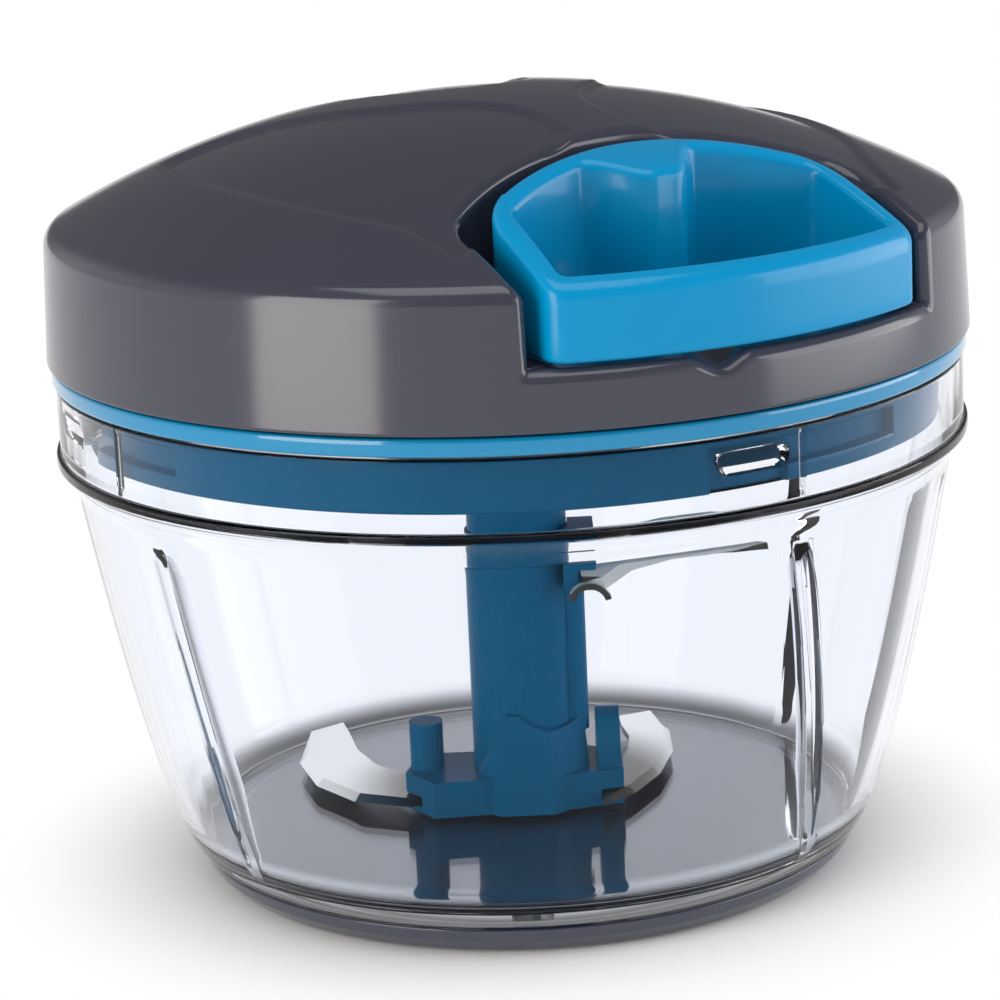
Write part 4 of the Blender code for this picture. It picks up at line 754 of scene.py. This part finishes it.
def make_cover(material):
    """Floor, walls and outside as one surface: rows run from the recess's middle out to its foot,
    up its wall and, past a rounded lip, over the outside to the lower edge. The lip is a quarter
    circle of the distance from the recess's edge, and both it and the leaf-shaped fields are sunk
    along the outside's normal."""
    run, radius, height = cover_profile()
    edge = opening_edge(run, radius, height)
    flat = cover_rays(edge, run, 154)
    place = np.linalg.norm(flat, axis=-1)
    ray = flat / place[..., None]
    outward, upward = (np.interp(place, run, np.gradient(part, run)) for part in (radius, height))
    size = np.hypot(outward, upward)
    normal = np.concatenate([ray * (-upward / size)[..., None], (outward / size)[..., None]], axis=-1)
    outside = np.concatenate(
        [ray * np.interp(place, run, radius)[..., None], np.interp(place, run, height)[..., None]], axis=-1
    )
    lip_rows = 45
    away = np.ones(flat.shape[:2])
    away[:lip_rows] = edge_distance(flat[:lip_rows], edge) / RECESS_LIP
    sunk = RECESS_LIP * (1 - np.sqrt(1 - (1 - np.clip(away, 0, 1)) ** 2))
    on_dome = place < run[DOME_ROWS - 2]
    sunk = sunk + LEAF_DEPTH * leaf_share(outside[..., 0], outside[..., 1]) * on_dome
    outside = outside - normal * sunk[..., None]
    foot = outside[0].copy()
    foot[:, 2] = np.minimum(foot[:, 2], RECESS_FLOOR)
    steps = np.linspace(0, 1, 12)[1:-1, None, None]
    wall = foot + (outside[0] - foot) * steps
    centre = np.array([RECESS_MIDDLE, 0, RECESS_FLOOR])
    shares = np.linspace(0, 1, 14)[:-1, None, None]
    floor = centre + (foot - centre) * shares
    floor[..., 2] = RECESS_FLOOR + (foot[:, 2] - RECESS_FLOOR) * smoothstep(shares[..., 0], 0.75, 1)
    rows = np.concatenate([floor, foot[None], wall, outside])
    made = surface("cover_charcoal", to_world(rows), material, "lid", smooth=50)
    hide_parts("lid_cover")


def grained(material, roughness):
    """A fine moulded grain: noise into a bump and, by a few hundredths, into the roughness."""
    place = source(material.node_tree, "ShaderNodeTexCoord", "Object")
    noise = place.node("ShaderNodeTexNoise", Vector=place, Scale=2500.0, Detail=3.0)
    feed(material, "Normal", noise.node("ShaderNodeBump", Height=noise, Strength=0.04, Distance=0.02 * MM))
    feed(material, "Roughness", noise * 0.03 + (roughness - 0.015))


charcoal = finish("charcoal_satin", linear(57, 58, 71), 0.15)
grained(charcoal, 0.15)
make_cover(charcoal)

# PULL HANDLE
# Sky-blue ring handle lying in the recess, its top flush with the dome. A rounded boss on the
# inner side of its back wall takes the cord's knot.

HANDLE_LOW = 84.8 * MM
HANDLE_FRONT = 64.4 * MM
HANDLE_BACK = 50.0 * MM
FRONT_HALF = 28.5 * MM
BACK_HALF = 26.9 * MM
HANDLE_WALL = 3.1 * MM
RING_MIDDLE = 52 * MM
BOSS_RISE = 7.0 * MM
BOSS_FLAT = 1.6 * MM
BOSS_LEFT = 8.6 * MM
BOSS_RIGHT = 10.0 * MM


def handle_lines(count):
    """Outer and inner plan of the handle as closed lines. The inner one has equal spacing, and each
    outer point lies on the ray from the ring's middle through the inner point."""
    outer = even(closed_plan(0, 0, 2.5 * MM, 5.0 * MM), 5 * count)
    inner = even(closed_plan(HANDLE_WALL, BOSS_RISE, 1.25 * MM, 1.55 * MM), count)
    middle = np.array([RING_MIDDLE, 0])
    have = np.unwrap(np.arctan2(*(outer - middle).T[::-1]))
    want = np.unwrap(np.arctan2(*(inner - middle).T[::-1]))
    have = np.concatenate([have - 2 * math.pi, have, have + 2 * math.pi])
    matched = [np.interp(want, have, np.tile(outer[:, k], 3)) for k in (0, 1)]
    return np.stack(matched, axis=1), inner


def closed_plan(inset, boss, front_cut, back_cut):
    """The handle's plan, set in from its outside: a front arc about the lid's axis, leaning sides
    and a back arc, which a raised cosine pushes forward by the height of the boss."""
    front = HANDLE_FRONT - inset
    half_turn = math.asin((FRONT_HALF - inset) / front)
    turn = np.linspace(-half_turn, half_turn, 60)
    y = (BACK_HALF - inset) * np.linspace(1, -1, 121)
    x = BACK_CENTRE - np.sqrt((HANDLE_BACK - inset) ** 2 - y**2)
    spread = np.where(y > 0, BOSS_LEFT, BOSS_RIGHT)
    slope = np.clip((np.abs(y) - BOSS_FLAT) / (spread - BOSS_FLAT), 0, 1)
    x = x + boss * (1 + np.cos(np.pi * slope)) / 2
    arc = front * np.stack([np.cos(turn), np.sin(turn)], axis=1)
    points = np.concatenate([arc, np.stack([x, y], axis=1)])
    corners = [0, len(arc) - 1, len(arc), len(points) - 1]
    return eased(points, corners, [front_cut, front_cut, back_cut, back_cut])


def eased(points, corners, cuts):
    """A closed line whose corners, listed by index from 0 on, are cut back by their own lengths
    and joined by quadratic curves. Points within a cut of their nearest corner are left out."""
    count = len(points)
    steps = np.abs((np.arange(count)[:, None] - corners + count // 2) % count - count // 2)
    nearest = steps.argmin(axis=1)
    away = np.linalg.norm(points[np.take(corners, nearest)] - points, axis=1)
    kept = away >= np.take(cuts, nearest) * 1.02
    line = []
    for corner, later, cut in zip(corners, [*corners[1:], count], cuts):
        before = points[corner - 1] - points[corner]
        after = points[(corner + 1) % count] - points[corner]
        back = points[corner] + before / np.linalg.norm(before) * cut
        on = points[corner] + after / np.linalg.norm(after) * cut
        between = slice(corner + 1, later)
        line += [curved(points[corner], back, on, 8), points[between][kept[between]]]
    return np.concatenate(line)


def even(line, count):
    """A closed line as a number of points at equal steps of its length."""
    ring = np.concatenate([line, line[:1]])
    run = np.concatenate([[0], np.cumsum(np.linalg.norm(np.diff(ring, axis=0), axis=1))])
    want = np.arange(count) * run[-1] / count
    return np.stack([np.interp(want, run, ring[:, 0]), np.interp(want, run, ring[:, 1])], axis=1)


def make_handle(material):
    """Rows run up the outside, over the rounded top, down the inside and back under the ring. The
    roundings are quarter circles that move each row along the plan's normal."""
    count = 560
    outer, inner = handle_lines(count)
    base_soft = 0.8 * MM
    low_side = HANDLE_LOW + base_soft
    rows = []
    turn = np.radians(np.linspace(0, 90, 8))
    for line, sign, soft in ((outer, 1, 1.3 * MM), (inner, -1, 1.2 * MM)):
        along = np.roll(line, -1, 0) - np.roll(line, 1, 0)
        normal = np.stack([along[:, 1], -along[:, 0]], axis=1)
        normal = normal / np.linalg.norm(normal, axis=1)[:, None]
        low = [(base_soft * (1 - math.sin(t)), base_soft * (1 - math.cos(t))) for t in turn]
        high = [(soft * (1 - math.cos(t)), soft * (1 - math.sin(t))) for t in turn]
        part = []
        for inset, rise in low:
            place = line - normal * inset * sign
            part.append(np.concatenate([place, np.full((count, 1), HANDLE_LOW + rise)], axis=1))
        high_side = sphere_height(line) - soft
        for share in np.linspace(0, 1, 8)[1:-1]:
            side = low_side + (high_side - low_side) * share
            part.append(np.concatenate([line, side[:, None]], axis=1))
        for inset, drop in high:
            place = line - normal * inset * sign
            part.append(np.concatenate([place, (sphere_height(place) - drop)[:, None]], axis=1))
        rows.append(part if sign == 1 else part[::-1])
    section = rows[0] + rows[1]
    section.append(section[0])
    made = surface("handle_sky_blue", to_world(np.array(section)), material, "handle", smooth=50)
    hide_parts("pull_handle")


def sphere_height(plan):
    """Height of the dome's sphere over plan points."""
    return DOME_TOP - DOME_RADIUS + np.sqrt(DOME_RADIUS**2 - (plan**2).sum(1))


sky = finish(
    "sky_blue_plastic", linear(0, 136, 188), 0.24, Specular_IOR_Level=0.15, Coat_Weight=0.2,
    Coat_Roughness=0.08,
)
make_handle(sky)

# BLADE UNIT
# Deep blue post on the bowl's pin, with moulded carriers that hold three curved steel blades
# and a peg that throws food back. A narrower sleeve on top takes the drive.

deep_blue = finish("deep_blue_plastic", linear(0, 95, 135), 0.3, Specular_IOR_Level=0.04)


def blade_steel(name, near, far, metallic):
    """Bright steel with painted shade: it darkens towards the blade's root, by the post, and its ground
    sides are painted near-black.
    """
    bright = linear(244, 244, 241)
    made = finish(name, bright, 0.16, Metallic=metallic)
    # painted shade: a darker steel colour near the axis, at the blade's root
    shade = axis_reach(made.node_tree).step(near, far).mix(linear(96, 92, 84), bright)
    normal = source(made.node_tree, "ShaderNodeNewGeometry", "Normal")
    flatness = normal.node("ShaderNodeSeparateXYZ", "Z", Vector=normal).maths("ABSOLUTE")
    # painted shade: near-black where the surface normal leans far from upright, on the ground sides
    feed(made, "Base Color", flatness.step(0.25, 0.6).mix(linear(12, 12, 13), shade))
    return made


steel = blade_steel("lower_blade_steel", 16 * MM, 30 * MM, 1.0)
upper_steel = blade_steel("upper_blade_steel", 1 * MM, 2 * MM, 0.0)


def dress(node, material):
    """Gives a CAD node its finish."""
    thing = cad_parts[node]
    thing.data.materials.clear()
    thing.data.materials.append(material)


for node in ("blade_post", "drive_sleeve", "drive_hub"):
    dress(node, deep_blue)
for node in ("left_blade", "right_blade"):
    dress(node, steel)
dress("upper_blade", upper_steel)

# INNER PIECES
# Pin, screws, axle and eyelet of steel, the recoil spring, a reel and spring cup of white plastic,
# a soft seal and a woven cord. They show only when the lid is off or the handle is out.

CORD_RADIUS = 1.0 * MM
CORD_HEIGHT = 88.0 * MM
CORD_TAIL = 26.3 * MM
CORD_BACK = 32.0 * MM
CORD_KNOT = 37.1 * MM

pin_steel = finish("pin_steel", linear(170, 172, 175), 0.3, Metallic=1.0)
spring_steel = finish("spring_steel", linear(110, 115, 125), 0.35, Metallic=1.0)
white = finish("white_plastic", linear(225, 225, 222), 0.4)
silicone = finish("silicone", linear(205, 215, 220), 0.6)
cord_white = finish("cord_white", linear(232, 232, 228), 0.8)
plain = {
    "pivot_pin": pin_steel, "reel_axle": pin_steel, "cord_guide": pin_steel,
    "recoil_spring": spring_steel, "spring_housing": white, "cord_reel": white, "lid_seal": silicone,
    "cord_winding": cord_white, "cord_lead": cord_white, "cord_knot": cord_white,
}
for node, material in plain.items():
    dress(node, material)
for index in range(4):
    dress(f"lid_screw_{index + 1}", pin_steel)
for index in range(3):
    dress(f"housing_screw_{index + 1}", pin_steel)


def make_cord(material):
    """Straight cord from the eyelet to the knot: a circle carried along the pull, with close rows
    between the eyelet and the handle's back, where more cord comes out as the handle is pulled."""
    free = CORD_TAIL + 0.5 * MM
    stretch = np.linspace(CORD_TAIL + 0.6 * MM, CORD_BACK, 60)
    tuck = 0.001 * MM
    place = [[CORD_TAIL + tuck, CORD_TAIL, free], stretch, [CORD_KNOT, CORD_KNOT - tuck]]
    place = np.concatenate(place)[:, None]
    radius = np.full_like(place, CORD_RADIUS)
    radius[[0, -1]] = POLE
    turn = np.linspace(0, 2 * math.pi, 24, endpoint=False)
    rows = np.stack(
        np.broadcast_arrays(place, radius * np.cos(turn), CORD_HEIGHT + radius * np.sin(turn)), axis=-1
    )
    made = surface("cord_from_eyelet", to_world(rows), material, None, smooth=60)
    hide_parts("pull_cord")
    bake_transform(made)


make_cord(cord_white)

# STUDIO
# White sweep and surround, a warm soft key panel on the left, a large soft one above and a fill
# on the right, and the camera in the photograph's place.

FLOOR_HALF = 6.0
FOCAL_LENGTH = 130.2
CAMERA_PITCH = math.radians(14.5)
CAMERA_ROLL = math.radians(-2.47)
CAMERA_DISTANCE = 519.3 * MM
AIM_HEIGHT = 50 * MM


def panel(name, place, aim, size, power, colour=(1, 1, 1)):
    """A rectangular light that faces a point, with places and sizes in metres and power in watts."""
    data = bpy.data.lights.new(name, "AREA")
    data.shape = "RECTANGLE"
    data.size, data.size_y = size
    data.energy = power
    data.color = colour
    light = bpy.data.objects.new(name, data)
    light.location = place
    light.rotation_euler = (Vector(aim) - Vector(place)).to_track_quat("-Z", "Y").to_euler()
    bpy.context.scene.collection.objects.link(light)


def make_floor():
    """A large pale plane that takes the shadow near the chopper and is plain white further off."""
    mesh = bpy.data.meshes.new("floor")
    corners = [(x * FLOOR_HALF, y * FLOOR_HALF, 0) for x, y in ((-1, -1), (1, -1), (1, 1), (-1, 1))]
    mesh.from_pydata(corners, [], [(0, 1, 2, 3)])
    floor = bpy.data.objects.new("floor", mesh)
    material = finish("floor_white", linear(250, 250, 250), 0.5, Specular_IOR_Level=0.2)
    floor.data.materials.append(material)
    tree = material.node_tree
    seen = source(tree, "ShaderNodeLightPath", "Is Camera Ray")
    for kind in ("Is Glossy Ray", "Is Transmission Ray"):
        seen = seen.maths("MAXIMUM", source(tree, "ShaderNodeLightPath", kind))
    plain = seen.node("ShaderNodeEmission", Color=(1.0, 1.0, 1.0), Strength=1.0)
    shown = tree.nodes.new("ShaderNodeMixShader")
    plug(tree, shown.inputs[0], axis_reach(tree).step(40 * MM, 80 * MM) * seen)
    tree.links.new(tree.nodes["Principled BSDF"].outputs[0], shown.inputs[1])
    tree.links.new(plain.socket, shown.inputs[2])
    tree.links.new(shown.outputs[0], tree.nodes["Material Output"].inputs["Surface"])
    bpy.context.scene.collection.objects.link(floor)


def make_world():
    """A white surround to the camera and through the clear bowl. Reflections see it white at the
    sides and dimmer in front, behind and above, as the panels of a studio leave it."""
    world = bpy.data.worlds.new("studio")
    bpy.context.scene.world = world
    world.use_nodes = True
    tree = world.node_tree
    background = tree.nodes["Background"]
    kinds = ("Camera", "Transmission", "Glossy")
    camera, through, mirrored = (source(tree, "ShaderNodeLightPath", f"Is {kind} Ray") for kind in kinds)
    ray = source(tree, "ShaderNodeTexCoord", "Generated")
    lift = ray.node("ShaderNodeSeparateXYZ", "Z", Vector=ray).maths("ABSOLUTE")
    aside = ray.node("ShaderNodeSeparateXYZ", "X", Vector=ray).maths("ABSOLUTE")
    clear_view = 1.0 - lift.step(0.45, 0.75) * 0.6
    reflected = aside.step(0.3, 0.8) * (1.0 - lift.step(0.3, 0.7)) * 0.55 + 0.15
    light = (1.0 - through.maths("MAXIMUM", mirrored)) * 0.38
    shown = camera.maths("MAXIMUM", through * clear_view).maths("MAXIMUM", mirrored * reflected)
    plug(tree, background.inputs["Color"], (1.0, 1.0, 1.0))
    plug(tree, background.inputs["Strength"], shown.maths("MAXIMUM", light))


def make_camera():
    """The photograph's view: 14.5 degrees down from in front, rolled so that the right side lifts."""
    ahead = Vector((0, math.cos(CAMERA_PITCH), -math.sin(CAMERA_PITCH)))
    up = Vector((0, math.sin(CAMERA_PITCH), math.cos(CAMERA_PITCH)))
    right = Vector((1, 0, 0))
    rolled_right = right * math.cos(CAMERA_ROLL) + up * math.sin(CAMERA_ROLL)
    rolled_up = up * math.cos(CAMERA_ROLL) - right * math.sin(CAMERA_ROLL)
    place = Vector((0, 0, AIM_HEIGHT)) - ahead * CAMERA_DISTANCE
    data = bpy.data.cameras.new("camera")
    data.lens = FOCAL_LENGTH
    data.sensor_width = 36
    data.shift_x = -0.0156
    data.shift_y = 0.010
    data.clip_start = 0.01
    camera = bpy.data.objects.new("camera", data)
    turn = Matrix((rolled_right, rolled_up, -ahead)).transposed()
    camera.matrix_world = Matrix.Translation(place) @ turn.to_4x4()
    bpy.context.scene.collection.objects.link(camera)
    bpy.context.scene.camera = camera


make_floor()
make_world()
make_camera()
panel(
    "key_left", place=(-0.313, -0.324, 0.172), aim=(0, 0, 0.17), size=(0.24, 0.34), power=1.4,
    colour=(1, 0.95, 0.88),
)
panel("top_soft", place=(0.0, -0.2, 0.85), aim=(0, 0, 0.05), size=(0.7, 0.6), power=3.2)
panel("fill_right", place=(0.5, -0.03, 0.17), aim=(0, 0, 0.12), size=(0.5, 0.34), power=1.9)
bpy.context.scene.view_settings.view_transform = "Standard"
